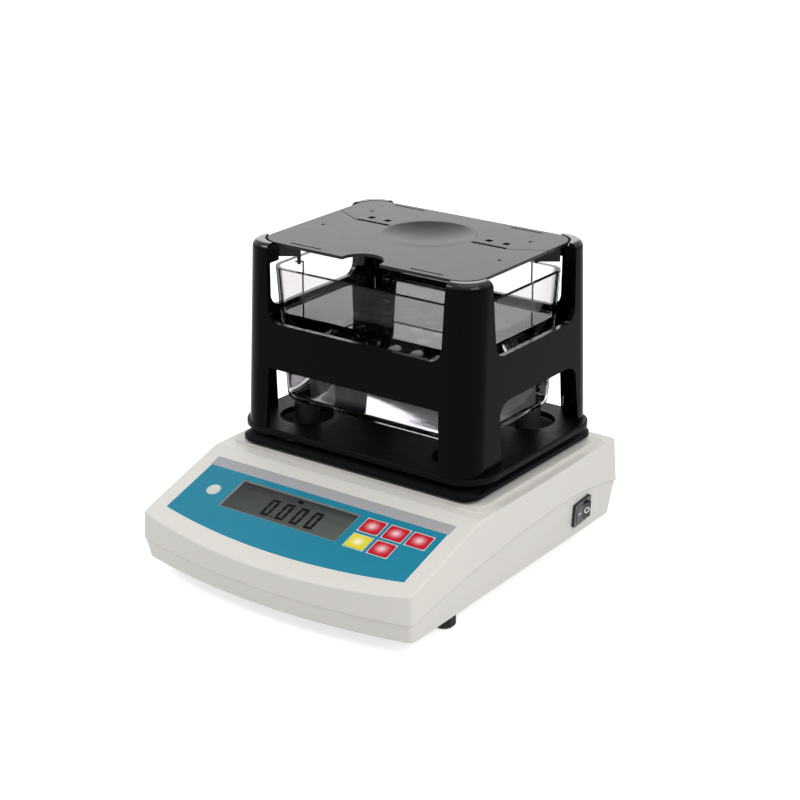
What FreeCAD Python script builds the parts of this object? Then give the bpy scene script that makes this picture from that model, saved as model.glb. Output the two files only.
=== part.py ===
import FreeCAD, Part
import math
import os

# Benchtop density meter: a pale two-part scale housing with a sloped key panel,
# a black weighing stand over it, and a clear water tank that stands free of the
# stand on four fixed posts.  Millimetres.  X runs to the right, Y to the rear
# and Z up; Z = 0 is the bench and Y = 0 is the middle of the housing's length.

Vector = FreeCAD.Vector
Rotation = FreeCAD.Rotation
Placement = FreeCAD.Placement

# ---- general clearances --------------------------------------------------
fit_gap = 0.15             # between a loose inner piece and its opening
thread_gap = 0.05          # radial, stud in its threaded boss
rest_gap = 0.1             # between flat faces of pieces that lift apart

# ---- housing -------------------------------------------------------------
housing_length = 223.2     # apex of the bowed front to the rear wall
front_half_width = 93.2    # half widths at the crown of the parting line
middle_half_width = 94.9
rear_half_width = 92.8
middle_y = -30.0           # where the housing is widest
front_bow = 12.4           # how far the front bows ahead of its corners
front_lean = 0.06          # forward lean of the upper front wall per mm of height
upper_draft = 0.05         # inward taper of the upper shell per mm of height
lower_draft = 0.12         # outward taper of the lower shell per mm of height
front_draft = 0.2
underside_insets = (0.9, 3.5, 3.0)    # of the half widths, at the underside
underside_rear_inset = 2.5
wall = 2.5
foot_height = 10.0         # bench to the underside of the housing
ledge_z = 58.0             # flat ledge round the slab
plateau_height = 2.0       # raised seat under the slab
plateau_half_width = 87.0
plateau_front_y = -27.3
plateau_rear_gap = 6.1     # its rear edge to the rear wall
plateau_draft = 0.3
plateau_corner = 3.0
panel_slope = 17.4         # degrees
panel_rear_y = -35.3       # crease between the ledge and the sloped panel
front_corner_radius = 3.0
rear_corner_radius = 2.5
crease_radius = 1.5
part_front_z = 21.0        # parting line across the front wall
part_crown_z = 38.8        # its highest place on the sides
part_rear_z = 30.0
part_corner_y = -100.5
part_crown_y = 50.0
part_step = 0.35           # lower front stands in by this much

# ---- key panel, measured on the slope -------------------------------------
overlay_margin = 9.3       # crease to the rear edge of the overlay
overlay_half_width = 83.4
overlay_side_depth = 49.5
overlay_middle_depth = 58.6
overlay_thickness = 0.5
window_left = -54.3
window_width = 82.0
window_depth = 23.4
window_rear = 12.5         # from the overlay's rear edge
lens_thickness = 1.0
lcd_frame_margin = 4.0
key_width = 12.4
key_depth = 10.4
key_corner = 1.2
key_proud = 0.35
key_travel = 0.4
key_flange = 0.7
key_flange_thickness = 0.8
key_stem_radius = 2.0
key_columns = (40.4, 56.2, 71.6)
key_rows = (18.0, 31.5)
vial_x = -66.4
vial_depth = 26.0
vial_radius = 4.3
vial_length = 7.0
vial_dome = 0.5
board_drop = 11.0          # panel surface to the top of the key board
board_thickness = 1.6
board_left = -68.0
board_right = 79.5
board_rear = 3.5
board_front = 40.0
tact_size = 6.0
tact_height = 3.5
plunger_radius = 1.7
plunger_height = 1.5
boss_radius = 3.5
small_screw_radius = 1.25
small_head_radius = 2.4
small_head_height = 1.6

# ---- levelling feet --------------------------------------------------------
foot_radius = 6.5
foot_bevel = 1.6
foot_front_x = 82.5
foot_front_reach = 58.1    # from the apex of the front
foot_rear_x = 62.0
foot_rear_reach = 27.6     # from the rear wall
foot_flutes = 12
flute_radius = 0.8
stud_radius = 3.0
stud_length = 13.0
foot_boss_radius = 6.0
foot_boss_height = 12.0
foot_rest_gap = 0.1

# ---- inside ----------------------------------------------------------------
plate_half_width = 32.0
plate_front_y = -30.0
plate_rear_y = 100.0
plate_gap = 3.5            # housing floor to the base plate
plate_thickness = 4.0
spacer_height = 4.0
cell_length = 110.0
cell_width = 26.0
cell_height = 20.0
cell_eye_radius = 7.0
cell_eye_spacing = 26.0
cell_slot = 2.0
cell_seat_length = 28.0
bracket_thickness = 6.0
hub_radius = 10.0
hub_flange_radius = 25.0
hub_flange_thickness = 2.0
hub_hole_radius = 14.0
main_screw_radius = 2.5
main_head_radius = 4.4
main_head_height = 2.5
main_board_wall_gap = 12.9
main_board_plate_gap = 6.0
main_board_front_y = -35.0
main_board_rear_y = 55.0
standoff_height = 4.0
inlet_x = -58.0
inlet_z = 24.0
inlet_radius = 4.5
inlet_flange_radius = 6.0
inlet_ring = 1.2
inlet_bore_radius = 3.2
inlet_pin_radius = 1.0
inlet_depth = 11.0
case_screw_front = (84.0, 23.6)    # from the middle plane, and behind the apex of the front
case_screw_rear = (81.0, 15.6)     # from the middle plane, and ahead of the rear wall
case_boss_radius = 4.2
case_screw_radius = 1.5
case_head_radius = 2.9

# ---- rocker switch on the right-hand wall ------------------------------------
switch_y = 71.0
switch_z = 25.4
switch_tilt = 6.5          # degrees, rear end higher
bezel_length = 17.1
bezel_height = 15.0
bezel_proud = 2.0
bezel_rim = 2.2
bezel_corner = 1.0
switch_body_length = 14.7
switch_body_height = 12.6
switch_depth = 17.0
rocker_gap = 0.25
rocker_angle = 9.0         # degrees each side of level
rocker_core = 5.0
rocker_pin_radius = 1.0

# ---- slab, tray and stand ----------------------------------------------------
slab_front_y = -28.5       # front edge of the slab
slab_half_width = 82.5
slab_length = 130.9
slab_corner = 10.5
slab_edge = 2.2            # upright part of the slab's edge
slab_thickness = 5.0
slab_chamfer = 4.0
slab_foot_height = 2.0     # foot of the slab on the raised seat
slab_foot_inset = 4.0
middle_of_stage = 65.4     # slab front edge to the centre of the stand
tray_gap = 3.0             # slab to the underside of the tray
tray_thickness = 3.5
tray_half_width = 85.5
tray_half_length = 65.0
tray_corner = 19.5
tray_edge_radius = 1.0
tank_post_x = 54.5
tank_post_y = 34.7         # from the stand's centre
tank_post_radius = 7.5
tray_hole_radius = 16.0
stand_foot_half_width = 80.5
stand_top_half_width = 79.1
stand_foot_half_length = 65.2
stand_top_half_length = 60.5
stand_height = 108.5       # tray to the tops of the posts
stand_wall = 3.0
stand_corner = 15.0
stand_top_radius = 4.0
belt_low = 36.5            # above the tray
belt_high = 63.5
front_window_low = (60.4, 59.0)    # half width at the tray, then at the belt
front_window_high = (59.4, 61.4)   # half width at the belt, then at the top
side_window_low = (-33.0, 49.0, -35.4, 43.6)    # front, rear at the tray, then at the belt
side_window_high = (-38.4, 42.3, -43.2, 42.3)   # front, rear at the belt, then at the top
low_window_radius = 9.0
high_window_radius = 8.0
leg_boss_radius = 5.5
leg_boss_height = 12.0
leg_boss_inset = 9.0
tank_way_gap = 1.2         # way of the tank through the deck shelves

# ---- deck and basket ------------------------------------------------------------
deck_half_width = 72.8
deck_half_length = 53.7
deck_corner = 13.8
deck_thickness = 1.8
deck_recess_gap = 1.5
deck_seat = 9.5            # thickness of the corner shelves that carry the deck
deck_seam_gap = 0.7
seam_offset = 10.5         # seam behind the stand's centre
seam_knee = 52.2
seam_rise = 11.5           # how far the seam runs rearwards at the edges
dish_radius = 26.9
dish_depth = 4.0
dish_wall = 1.5
dish_tongue_margin = 1.0
dish_tongue_gap = 0.2
notch_radius = 12.7
notch_offset = 0.6
snap_slot_inner = 29.0
snap_slot_outer = 52.0
snap_slot_depth = 2.6
snap_window = 4.0
snap_window_x = (35.5, 47.0)
snap_window_offset = 19.6
tongue_thickness = 1.4
edge_slot_inner = 30.5
edge_slot_outer = 52.0
edge_slot_width = 1.4
edge_slot_inset = 3.9
deck_pin_radius = 1.2
deck_pin_places = ((61.0, -9.0), (55.6, 31.1))
arm_thickness = 1.8
front_arm_drop = 8.4       # deck underside to the underside of a hanger arm
rear_arm_drop = 12.2
arm_outer_x = 65.0
tab_width = 2.2
tab_drop = 13.2            # deck underside to the tip of an arm's tab
hook_rise = 1.5            # tip of the tab to its eye
wire_radius = 0.5
wire_x = 52.2              # from the stand's centre
wire_y = 38.9
wire_set_in = 2.3          # wire to the middle of the tab, along the diagonal
wire_foot = 6.0            # foot of a wire on the pan's rim
basket_half_width = 55.5
basket_half_length = 41.5
basket_depth = 6.0
basket_sheet = 0.8
basket_corner = 8.0
basket_bottom = 36.0       # above the tray
basket_hole_radius = 4.0
basket_hole_pitch = 15.0

# ---- water tank --------------------------------------------------------------------
tank_bottom = 9.0          # above the tray
tank_height = 82.5
tank_foot_half_width = 66.0
tank_rim_half_width = 70.1
tank_foot_half_length = 44.9
tank_rim_half_length = 49.0
tank_corner = 11.0
tank_wall = 2.2
tank_floor = 3.0
tank_foot_radius = 6.5

# ---- levels and planes that follow from the sizes above -----------------------------
front_apex_y = -housing_length / 2
front_corner_y = front_apex_y + front_bow
rear_y = housing_length / 2
floor_z = foot_height + wall
foot_front_y = front_apex_y + foot_front_reach
foot_rear_y = rear_y - foot_rear_reach
case_screw_places = [(side * x, y) for x, y in (
    (case_screw_front[0], front_apex_y + case_screw_front[1]),
    (case_screw_rear[0], rear_y - case_screw_rear[1])) for side in (-1, 1)]
main_board_left = main_board_wall_gap - middle_half_width
main_board_right = -plate_half_width - main_board_plate_gap
inlet_seat_y = (rear_y - underside_rear_inset
                + lower_draft * (inlet_z - inlet_flange_radius - foot_height))
plateau_rear_y = rear_y - plateau_rear_gap
seat_z = ledge_z + plateau_height
slab_z = seat_z + slab_foot_height
slab_top_z = slab_z + slab_thickness
stage_y = slab_front_y + middle_of_stage
tray_z = slab_top_z + tray_gap
tray_top_z = tray_z + tray_thickness
stand_top_z = tray_top_z + stand_height
deck_top_z = stand_top_z
deck_z = deck_top_z - deck_thickness
tank_z = tray_top_z + tank_bottom
roof_z = seat_z - wall
slope = math.radians(panel_slope)


# ---- helpers -------------------------------------------------------------------------
def box(x0, x1, y0, y1, z0, z1):
    return Part.makeBox(x1 - x0, y1 - y0, z1 - z0, Vector(x0, y0, z0))


def cylinder(x, y, z0, z1, radius):
    return Part.makeCylinder(radius, z1 - z0, Vector(x, y, z0))


def three_point_arc(a, b, c):
    return Part.Arc(a, b, c).toShape()


def line(a, b):
    return Part.LineSegment(a, b).toShape()


def rounded_outline(half_x, half_y, radius, z, centre_y=0.0):
    """Closed wire of a rectangle with round corners, lying at height z."""
    edges = []
    corners = ((1, -1, -90), (1, 1, 0), (-1, 1, 90), (-1, -1, 180))
    points = []
    for sign_x, sign_y, start in corners:
        middle = Vector(sign_x * (half_x - radius), centre_y + sign_y * (half_y - radius), z)
        arc = []
        for turn in (start, start + 45, start + 90):
            angle = math.radians(turn)
            arc.append(middle + Vector(radius * math.cos(angle), radius * math.sin(angle), 0))
        points.append(arc)
    for index, arc in enumerate(points):
        edges.append(three_point_arc(*arc))
        edges.append(line(arc[2], points[(index + 1) % 4][0]))
    return Part.Wire(edges)


def extrude(wire, height):
    return Part.Face(wire).extrude(Vector(0, 0, height))


def loft(low_wire, high_wire):
    return Part.makeLoft([low_wire, high_wire], True, True)


def polygon(points):
    return Part.makePolygon(list(points) + [points[0]])


def fuse(first, *others):
    return first.fuse(list(others)).removeSplitter()


def upright_edges(shape):
    """Edges that run mostly along Z, with their middle points."""
    found = []
    for edge in shape.Edges:
        ends = [vertex.Point for vertex in edge.Vertexes]
        if len(ends) == 2 and abs(ends[0].z - ends[1].z) > 0.8 * edge.Length:
            found.append((edge, (ends[0] + ends[1]) * 0.5))
    return found


def head_screw(x, y, head_z, tip_z, radius, head_radius, head_height):
    """Round-headed screw; the head lies beyond head_z, away from the tip."""
    if tip_z > head_z:
        shank = cylinder(x, y, head_z, tip_z, radius)
        head = cylinder(x, y, head_z - head_height, head_z, head_radius)
    else:
        shank = cylinder(x, y, tip_z, head_z, radius)
        head = cylinder(x, y, head_z, head_z + head_height, head_radius)
    return fuse(shank, head)


# ---- key panel frame ---------------------------------------------------------------
panel_origin = Vector(0, panel_rear_y, ledge_z)
panel_frame = Placement(panel_origin, Rotation(Vector(1, 0, 0), panel_slope))
panel_normal = Vector(0, -math.sin(slope), math.cos(slope))


def on_panel(shape):
    """Move a shape drawn flat, with the crease as its X axis, onto the slope."""
    placed = shape.copy()
    placed.Placement = panel_frame.multiply(placed.Placement)
    return placed


def panel_y(depth):
    """Flat coordinate of a place that lies depth ahead of the overlay's rear edge."""
    return -(overlay_margin + depth)


def key_places():
    """Flat centres of the keys: three behind, two in front."""
    places = [(x, panel_y(key_rows[0])) for x in key_columns]
    places += [(x, panel_y(key_rows[1])) for x in key_columns[:2]]
    return places


key_names = ("key_1", "key_2", "key_3", "key_enter", "key_zero")


# ---- housing -------------------------------------------------------------------------
def corner_arc(before, corner, after):
    """Arc that rounds a corner between two places at the same distance from it."""
    first = before - corner
    second = after - corner
    half_angle = first.getAngle(second) / 2
    radius = first.Length * math.tan(half_angle)
    inward = (first + second).normalize() * (radius / math.sin(half_angle) - radius)
    return three_point_arc(before, corner + inward, after)


def plan_outline(z, half_widths, back, corner_y, apex_y, rounding):
    """Plan of the housing: bowed front, slightly bellied sides, straight rear."""
    front_half, middle_half, rear_half = half_widths
    front_right = Vector(front_half, corner_y, z)
    front_left = Vector(-front_half, corner_y, z)
    rear_right = Vector(rear_half, back, z)
    rear_left = Vector(-rear_half, back, z)
    sides = [
        three_point_arc(front_left, Vector(0, apex_y, z), front_right),
        three_point_arc(front_right, Vector(middle_half, middle_y, z), rear_right),
        line(rear_right, rear_left),
        three_point_arc(rear_left, Vector(-middle_half, middle_y, z), front_left),
    ]
    corners = (front_right, rear_right, rear_left, front_left)
    reaches = [rounding * reach for reach in (front_corner_radius, rear_corner_radius,
                                              rear_corner_radius, front_corner_radius)]
    spans = []
    for index, side in enumerate(sides):
        stops = (reaches[index - 1], side.Length / 2, side.Length - reaches[index])
        spans.append([side.valueAt(side.getParameterByLength(stop)) for stop in stops])
    edges = []
    for index, span in enumerate(spans):
        edges.append(line(span[0], span[2]) if index == 2 else three_point_arc(*span))
        if rounding:
            edges.append(corner_arc(span[2], corners[index], spans[(index + 1) % 4][0]))
    return Part.Wire(edges)


def leaning_apex(z):
    """Apex of the bowed front: it leans forward up to the panel's front crease."""
    crease_z = panel_surface_z(front_apex_y)
    return front_apex_y + front_lean * (crease_z - z)


def upper_plan(z, inset):
    """Plan of the upper shell, which narrows upwards."""
    taper = inset + upper_draft * (z - part_crown_z)
    half_widths = [half - taper for half in (front_half_width, middle_half_width, rear_half_width)]
    return plan_outline(z, half_widths, rear_y - taper, front_corner_y + inset,
                        leaning_apex(z) + inset, False)


def lower_plan(z, inset):
    """Plan of the lower shell, which widens upwards from the underside."""
    taper = inset - lower_draft * (z - foot_height)
    halves = (front_half_width, middle_half_width, rear_half_width)
    half_widths = [half - under - taper for half, under in zip(halves, underside_insets)]
    front = front_draft * (part_front_z - z) + part_step + inset
    return plan_outline(z, half_widths, rear_y - underside_rear_inset - taper,
                        front_corner_y + front, leaning_apex(part_front_z) + front, inset == 0)


def round_corners(solid):
    front = [edge for edge, middle in upright_edges(solid) if middle.y < 0]
    solid = solid.makeFillet(front_corner_radius, front)
    rear = [edge for edge, middle in upright_edges(solid) if middle.y > 0]
    return solid.makeFillet(rear_corner_radius, rear)


def parting_arc(y, direction):
    """Tangent arc from the crown of the parting line to its front corner or rear end."""
    end_z = part_front_z if direction < 0 else part_rear_z
    run = y - part_crown_y
    drop = part_crown_z - end_z
    radius = (run * run + drop * drop) / (2 * drop)
    half = run / 2
    middle_z = part_crown_z - (radius - math.sqrt(radius * radius - half * half))
    return Vector(0, part_crown_y + half, middle_z), Vector(0, y, end_z)


def below_parting(shift=0.0):
    """Block below the parting surface, which is the parting line swept along X."""
    far_x = 4 * middle_half_width
    front_middle, front_end = parting_arc(part_corner_y, -1)
    rear_middle, rear_end = parting_arc(rear_y + wall, 1)
    crown = Vector(0, part_crown_y, part_crown_z)
    front_far = Vector(0, 2 * front_apex_y, part_front_z)
    bottom_front = Vector(0, 2 * front_apex_y, -foot_height)
    bottom_rear = Vector(0, rear_y + wall, -foot_height)
    wire = Part.Wire([
        line(front_far, front_end),
        three_point_arc(front_end, front_middle, crown),
        three_point_arc(crown, rear_middle, rear_end),
        line(rear_end, bottom_rear),
        line(bottom_rear, bottom_front),
        line(bottom_front, front_far),
    ])
    wire.translate(Vector(-far_x / 2, 0, shift))
    return Part.Face(wire).extrude(Vector(far_x, 0, 0))


def below_slope(depth):
    """Everything that stays under the sloped panel and the ledge, depth beneath them."""
    reach = 2 * housing_length
    under_panel = on_panel(box(-reach / 2, reach / 2, -reach, reach, -reach, -depth))
    return under_panel.common(box(-reach / 2, reach / 2, -reach, reach, -reach, ledge_z - depth))


def plateau(inset, top):
    centre = (plateau_front_y + plateau_rear_y) / 2
    half = (plateau_rear_y - plateau_front_y) / 2
    low = rounded_outline(plateau_half_width - inset, half - inset, plateau_corner - inset,
                          ledge_z - wall, centre)
    high = rounded_outline(plateau_half_width - inset - plateau_draft, half - inset - plateau_draft,
                           plateau_corner - inset, top, centre)
    return loft(low, high)


def upper_block():
    """Outer form of the upper shell, closed underneath by the parting surface."""
    block = round_corners(loft(upper_plan(part_front_z - 2, 0.0), upper_plan(ledge_z, 0.0)))
    block = block.common(below_slope(0.0)).cut(below_parting())
    rims = []
    for edge in block.Edges:
        middle = edge.valueAt((edge.FirstParameter + edge.LastParameter) / 2)
        on_slope = abs((middle - panel_origin).dot(panel_normal)) < 0.01 and middle.y < panel_rear_y
        on_ledge = abs(middle.z - ledge_z) < 0.01 and middle.y > panel_rear_y + 0.01
        if on_slope or on_ledge:
            rims.append(edge)
    return block.makeFillet(crease_radius, rims)


def upper_housing():
    shell = upper_block()
    cavity = loft(upper_plan(part_front_z - 3, wall), upper_plan(ledge_z, wall))
    cavity = cavity.common(below_slope(wall))
    shell = shell.cut(cavity).fuse(plateau(0.0, seat_z)).cut(plateau(wall, roof_z))
    parts = [shell]
    for x, y in case_screw_places:
        surface = panel_surface_z(y) if y < panel_rear_y else ledge_z
        boss = cylinder(x, y, case_joint_z(y), surface - wall / 2, case_boss_radius)
        parts.append(boss.common(below_slope(wall / 2)))
    shell = fuse(*parts)
    for x, y in board_screw_places():
        post = cylinder(x, y, -board_drop, -wall / 2, boss_radius)
        post = post.cut(cylinder(x, y, -board_drop, -wall, small_screw_radius))
        shell = shell.fuse(on_panel(post))
    vial_y = panel_y(vial_depth)
    shell = shell.fuse(on_panel(cylinder(vial_x, vial_y, -vial_length - 1.5, -wall / 2, vial_radius + 2)))
    shell = shell.cut(on_panel(overlay_form(-overlay_thickness, fit_gap)))
    shell = shell.cut(on_panel(cylinder(vial_x, vial_y, -vial_length, 1, vial_radius + fit_gap)))
    shell = shell.cut(on_panel(window_block(-2 * wall, 1, fit_gap)))
    for x, y in key_places():
        shell = shell.cut(on_panel(key_block(x, y, -2 * wall, 1, fit_gap)))
    shell = shell.cut(cylinder(0, stage_y, roof_z - 1, slab_z + 1, hub_hole_radius))
    for x, y in case_screw_places:
        shell = shell.cut(cylinder(x, y, case_joint_z(y), case_joint_z(y) + 12, case_screw_radius))
    for x, y in slab_screw_places():
        shell = shell.cut(cylinder(x, y, roof_z - 1, slab_z + 1, case_screw_radius + fit_gap))
    return shell


def panel_surface_z(y):
    return ledge_z + (y - panel_rear_y) * math.tan(slope)


def case_joint_z(y):
    """Height at which an upper and a lower screw boss meet."""
    return part_front_z + 2 if y < 0 else part_rear_z - 4


def lower_block():
    block = loft(lower_plan(foot_height, 0.0), lower_plan(part_crown_z + 2, 0.0))
    return block.common(below_parting())


def wall_x(y, z):
    """Outer face of the right-hand wall of the lower shell."""
    probe = line(Vector(0, y, z), Vector(2 * middle_half_width, y, z))
    return probe.common(lower_block()).BoundBox.XMax


def lower_housing():
    outer = lower_block()
    cavity = loft(lower_plan(foot_height, wall), lower_plan(part_crown_z + 3, wall))
    cavity = cavity.cut(box(-200, 200, -200, 200, 0, floor_z))
    shell = outer.cut(cavity)
    bosses = []
    for x, y in foot_places().values():
        bosses.append(cylinder(x, y, foot_height, foot_height + foot_boss_height, foot_boss_radius))
    for x, y in case_screw_places:
        bosses.append(cylinder(x, y, foot_height, case_joint_z(y), case_boss_radius + 1))
    for x, y in plate_screw_places():
        bosses.append(cylinder(x, y, foot_height, floor_z + plate_gap, boss_radius + 1))
    for x, y in main_board_screw_places():
        bosses.append(cylinder(x, y, foot_height, floor_z + standoff_height, boss_radius))
    shell = fuse(shell, *bosses)
    for x, y in foot_places().values():
        shell = shell.cut(cylinder(x, y, foot_height - 1, foot_height + foot_boss_height + 1,
                                   stud_radius + thread_gap))
    for x, y in case_screw_places:
        head_z = foot_height + 5
        shell = shell.cut(cylinder(x, y, foot_height - 1, head_z, case_head_radius + fit_gap))
        shell = shell.cut(cylinder(x, y, head_z, case_joint_z(y) + 1, case_screw_radius + fit_gap))
    for x, y in plate_screw_places():
        shell = shell.cut(cylinder(x, y, foot_height + 2, floor_z + plate_gap + 1, case_screw_radius))
    for x, y in main_board_screw_places():
        shell = shell.cut(cylinder(x, y, foot_height + 1, floor_z + standoff_height, small_screw_radius))
    shell = shell.cut(in_wall(box(-switch_depth, 4, -switch_body_length / 2 - fit_gap,
                                  switch_body_length / 2 + fit_gap,
                                  -switch_body_height / 2 - fit_gap,
                                  switch_body_height / 2 + fit_gap)))
    shell = shell.cut(in_wall(box(0, bezel_proud, -bezel_length / 2 - fit_gap, bezel_length / 2 + fit_gap,
                                  -bezel_height / 2 - fit_gap, bezel_height / 2 + fit_gap)))
    rearwards = Vector(0, 1, 0)
    shell = shell.cut(Part.makeCylinder(inlet_radius + fit_gap, 4 * wall,
                                        Vector(inlet_x, rear_y - 3 * wall, inlet_z), rearwards))
    return shell.cut(Part.makeCylinder(inlet_flange_radius + fit_gap, 2 * wall,
                                       Vector(inlet_x, inlet_seat_y, inlet_z), rearwards))


# ---- key panel pieces --------------------------------------------------------------------
def overlay_form(low, gap):
    """Overlay outline with a bowed front edge, from height low up to the surface."""
    rear = panel_y(-gap)
    front = panel_y(overlay_side_depth + gap)
    bow = panel_y(overlay_middle_depth + gap)
    half = overlay_half_width + gap
    wire = Part.Wire([
        line(Vector(-half, rear, low), Vector(-half, front, low)),
        three_point_arc(Vector(-half, front, low), Vector(0, bow, low), Vector(half, front, low)),
        line(Vector(half, front, low), Vector(half, rear, low)),
        line(Vector(half, rear, low), Vector(-half, rear, low)),
    ])
    return extrude(wire, -low if gap == 0 else 1 - low)


def window_block(low, high, gap):
    return box(window_left - gap, window_left + window_width + gap,
               panel_y(window_rear + window_depth) - gap, panel_y(window_rear) + gap, low, high)


def key_block(x, y, low, high, gap):
    wire = rounded_outline(key_width / 2 + gap, key_depth / 2 + gap, key_corner, low, 0)
    wire.translate(Vector(x, y, 0))
    return extrude(wire, high - low)


def fascia_overlay():
    sheet = overlay_form(-overlay_thickness, 0)
    sheet = sheet.cut(window_block(-1, 1, fit_gap))
    sheet = sheet.cut(cylinder(vial_x, panel_y(vial_depth), -1, 1, vial_radius + fit_gap))
    for x, y in key_places():
        sheet = sheet.cut(key_block(x, y, -1, 1, fit_gap))
    return on_panel(sheet)


def lcd_lens():
    return on_panel(window_block(-lens_thickness, 0, 0))


def lcd_module():
    face = window_block(-wall - 0.5, -lens_thickness, 0)
    frame = box(window_left - lcd_frame_margin, window_left + window_width + lcd_frame_margin,
                panel_y(window_rear + window_depth) - lcd_frame_margin,
                panel_y(window_rear) + lcd_frame_margin, -board_drop, -wall - 0.1)
    return on_panel(fuse(face, frame))


def level_vial():
    y = panel_y(vial_depth)
    body = cylinder(vial_x, y, -vial_length, 0, vial_radius)
    sphere_radius = (vial_radius ** 2 + vial_dome ** 2) / (2 * vial_dome)
    dome = Part.makeSphere(sphere_radius, Vector(vial_x, y, vial_dome - sphere_radius))
    dome = dome.common(cylinder(vial_x, y, -0.2, vial_dome + 1, vial_radius))
    return on_panel(fuse(body, dome))


def key_pad(x, y):
    """Key cap with the flange that keeps it in the panel and the stem under it."""
    flange_top = -wall - fit_gap
    stem_foot = -board_drop + tact_height + plunger_height + key_travel + 0.1
    cap = key_block(x, y, flange_top - 0.01, key_proud, 0)
    rim = [edge for edge in cap.Edges if edge.BoundBox.ZMin > key_proud - 0.01]
    cap = cap.makeFillet(0.25, rim)
    flange = key_block(x, y, flange_top - key_flange_thickness, flange_top, key_flange)
    stem = cylinder(x, y, stem_foot, flange_top, key_stem_radius)
    return on_panel(fuse(cap, flange, stem))


def board_screw_places():
    inset = boss_radius + 0.5
    rear = panel_y(board_rear) - inset
    front = panel_y(board_front) + inset
    return [(x, y) for x in (board_left + inset, board_right - inset) for y in (rear, front)]


def key_board():
    board = box(board_left, board_right, panel_y(board_front), panel_y(board_rear),
                -board_drop - board_thickness, -board_drop)
    for x, y in board_screw_places():
        board = board.cut(cylinder(x, y, -board_drop - board_thickness - 1, -board_drop + 1,
                                   small_screw_radius + fit_gap))
    return on_panel(board)


def key_switches():
    switches = []
    half = tact_size / 2
    for x, y in key_places():
        body = box(x - half, x + half, y - half, y + half, -board_drop, -board_drop + tact_height)
        top = -board_drop + tact_height
        plunger = cylinder(x, y, top - 0.5, top + plunger_height, plunger_radius)
        switches.append(on_panel(fuse(body, plunger)))
    return Part.makeCompound(switches)


def key_board_screws():
    screws = []
    under = -board_drop - board_thickness
    for x, y in board_screw_places():
        screws.append(on_panel(head_screw(x, y, under, -wall - 1, small_screw_radius - 0.02,
                                          small_head_radius, small_head_height)))
    return Part.makeCompound(screws)


# ---- levelling feet -----------------------------------------------------------------------
def foot_places():
    return {
        "front_left": (-foot_front_x, foot_front_y),
        "front_right": (foot_front_x, foot_front_y),
        "rear_left": (-foot_rear_x, foot_rear_y),
        "rear_right": (foot_rear_x, foot_rear_y),
    }


def foot_pad(x, y):
    """Round knob with finger flutes and a bevelled tread."""
    top = foot_height - foot_rest_gap
    pad = cylinder(x, y, 0, top, foot_radius)
    pad = pad.makeChamfer(foot_bevel, [edge for edge in pad.Edges if edge.BoundBox.ZMax < 0.01])
    pad = pad.cut(cylinder(x, y, foot_height / 2, foot_height, stud_radius))
    for index in range(foot_flutes):
        angle = 2 * math.pi * index / foot_flutes
        reach = foot_radius + flute_radius / 2
        pad = pad.cut(cylinder(x + reach * math.cos(angle), y + reach * math.sin(angle),
                               foot_bevel * 1.5, top + 1, flute_radius))
    return pad


def foot_stud(x, y):
    stud = cylinder(x, y, foot_height / 2, foot_height / 2 + stud_length, stud_radius)
    return stud.makeChamfer(0.5, [edge for edge in stud.Edges
                                  if edge.BoundBox.ZMin > foot_height / 2 + stud_length - 0.01])


# ---- pieces inside ---------------------------------------------------------------------------
plate_z = floor_z + plate_gap
cell_z = plate_z + plate_thickness + spacer_height
bracket_z = cell_z + cell_height + spacer_height
cell_front_y = stage_y - cell_length / 2
cell_rear_y = stage_y + cell_length / 2


def plate_screw_places():
    inset = 6.0
    return [(x, y) for x in (-plate_half_width + inset, plate_half_width - inset)
            for y in (plate_front_y + inset, plate_rear_y - inset)]


def cell_screw_places(rear):
    middle = cell_rear_y - cell_seat_length / 2 if rear else cell_front_y + cell_seat_length / 2
    return [(0, middle - 7), (0, middle + 7)]


def base_plate():
    plate = box(-plate_half_width, plate_half_width, plate_front_y, plate_rear_y,
                plate_z, plate_z + plate_thickness)
    plate = plate.makeFillet(5.0, [edge for edge, middle in upright_edges(plate)])
    for x, y in plate_screw_places():
        plate = plate.cut(cylinder(x, y, plate_z - 1, plate_z + plate_thickness + 1,
                                   case_screw_radius + fit_gap))
    for x, y in cell_screw_places(False):
        plate = plate.cut(cylinder(x, y, plate_z - 1, plate_z + plate_thickness + 1,
                                   main_screw_radius + fit_gap))
    return plate


def plate_screws():
    top = plate_z + plate_thickness
    return Part.makeCompound([
        head_screw(x, y, top, foot_height + 3, case_screw_radius - 0.02, case_head_radius, 2.0)
        for x, y in plate_screw_places()])


def cell_spacer(rear):
    half = cell_width / 2
    if rear:
        y0, y1, z0 = cell_rear_y - cell_seat_length, cell_rear_y, cell_z + cell_height
    else:
        y0, y1, z0 = cell_front_y, cell_front_y + cell_seat_length, cell_z - spacer_height
    block = box(-half, half, y0, y1, z0, z0 + spacer_height)
    for x, y in cell_screw_places(rear):
        block = block.cut(cylinder(x, y, z0 - 1, z0 + spacer_height + 1, main_screw_radius + fit_gap))
    return block


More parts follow.
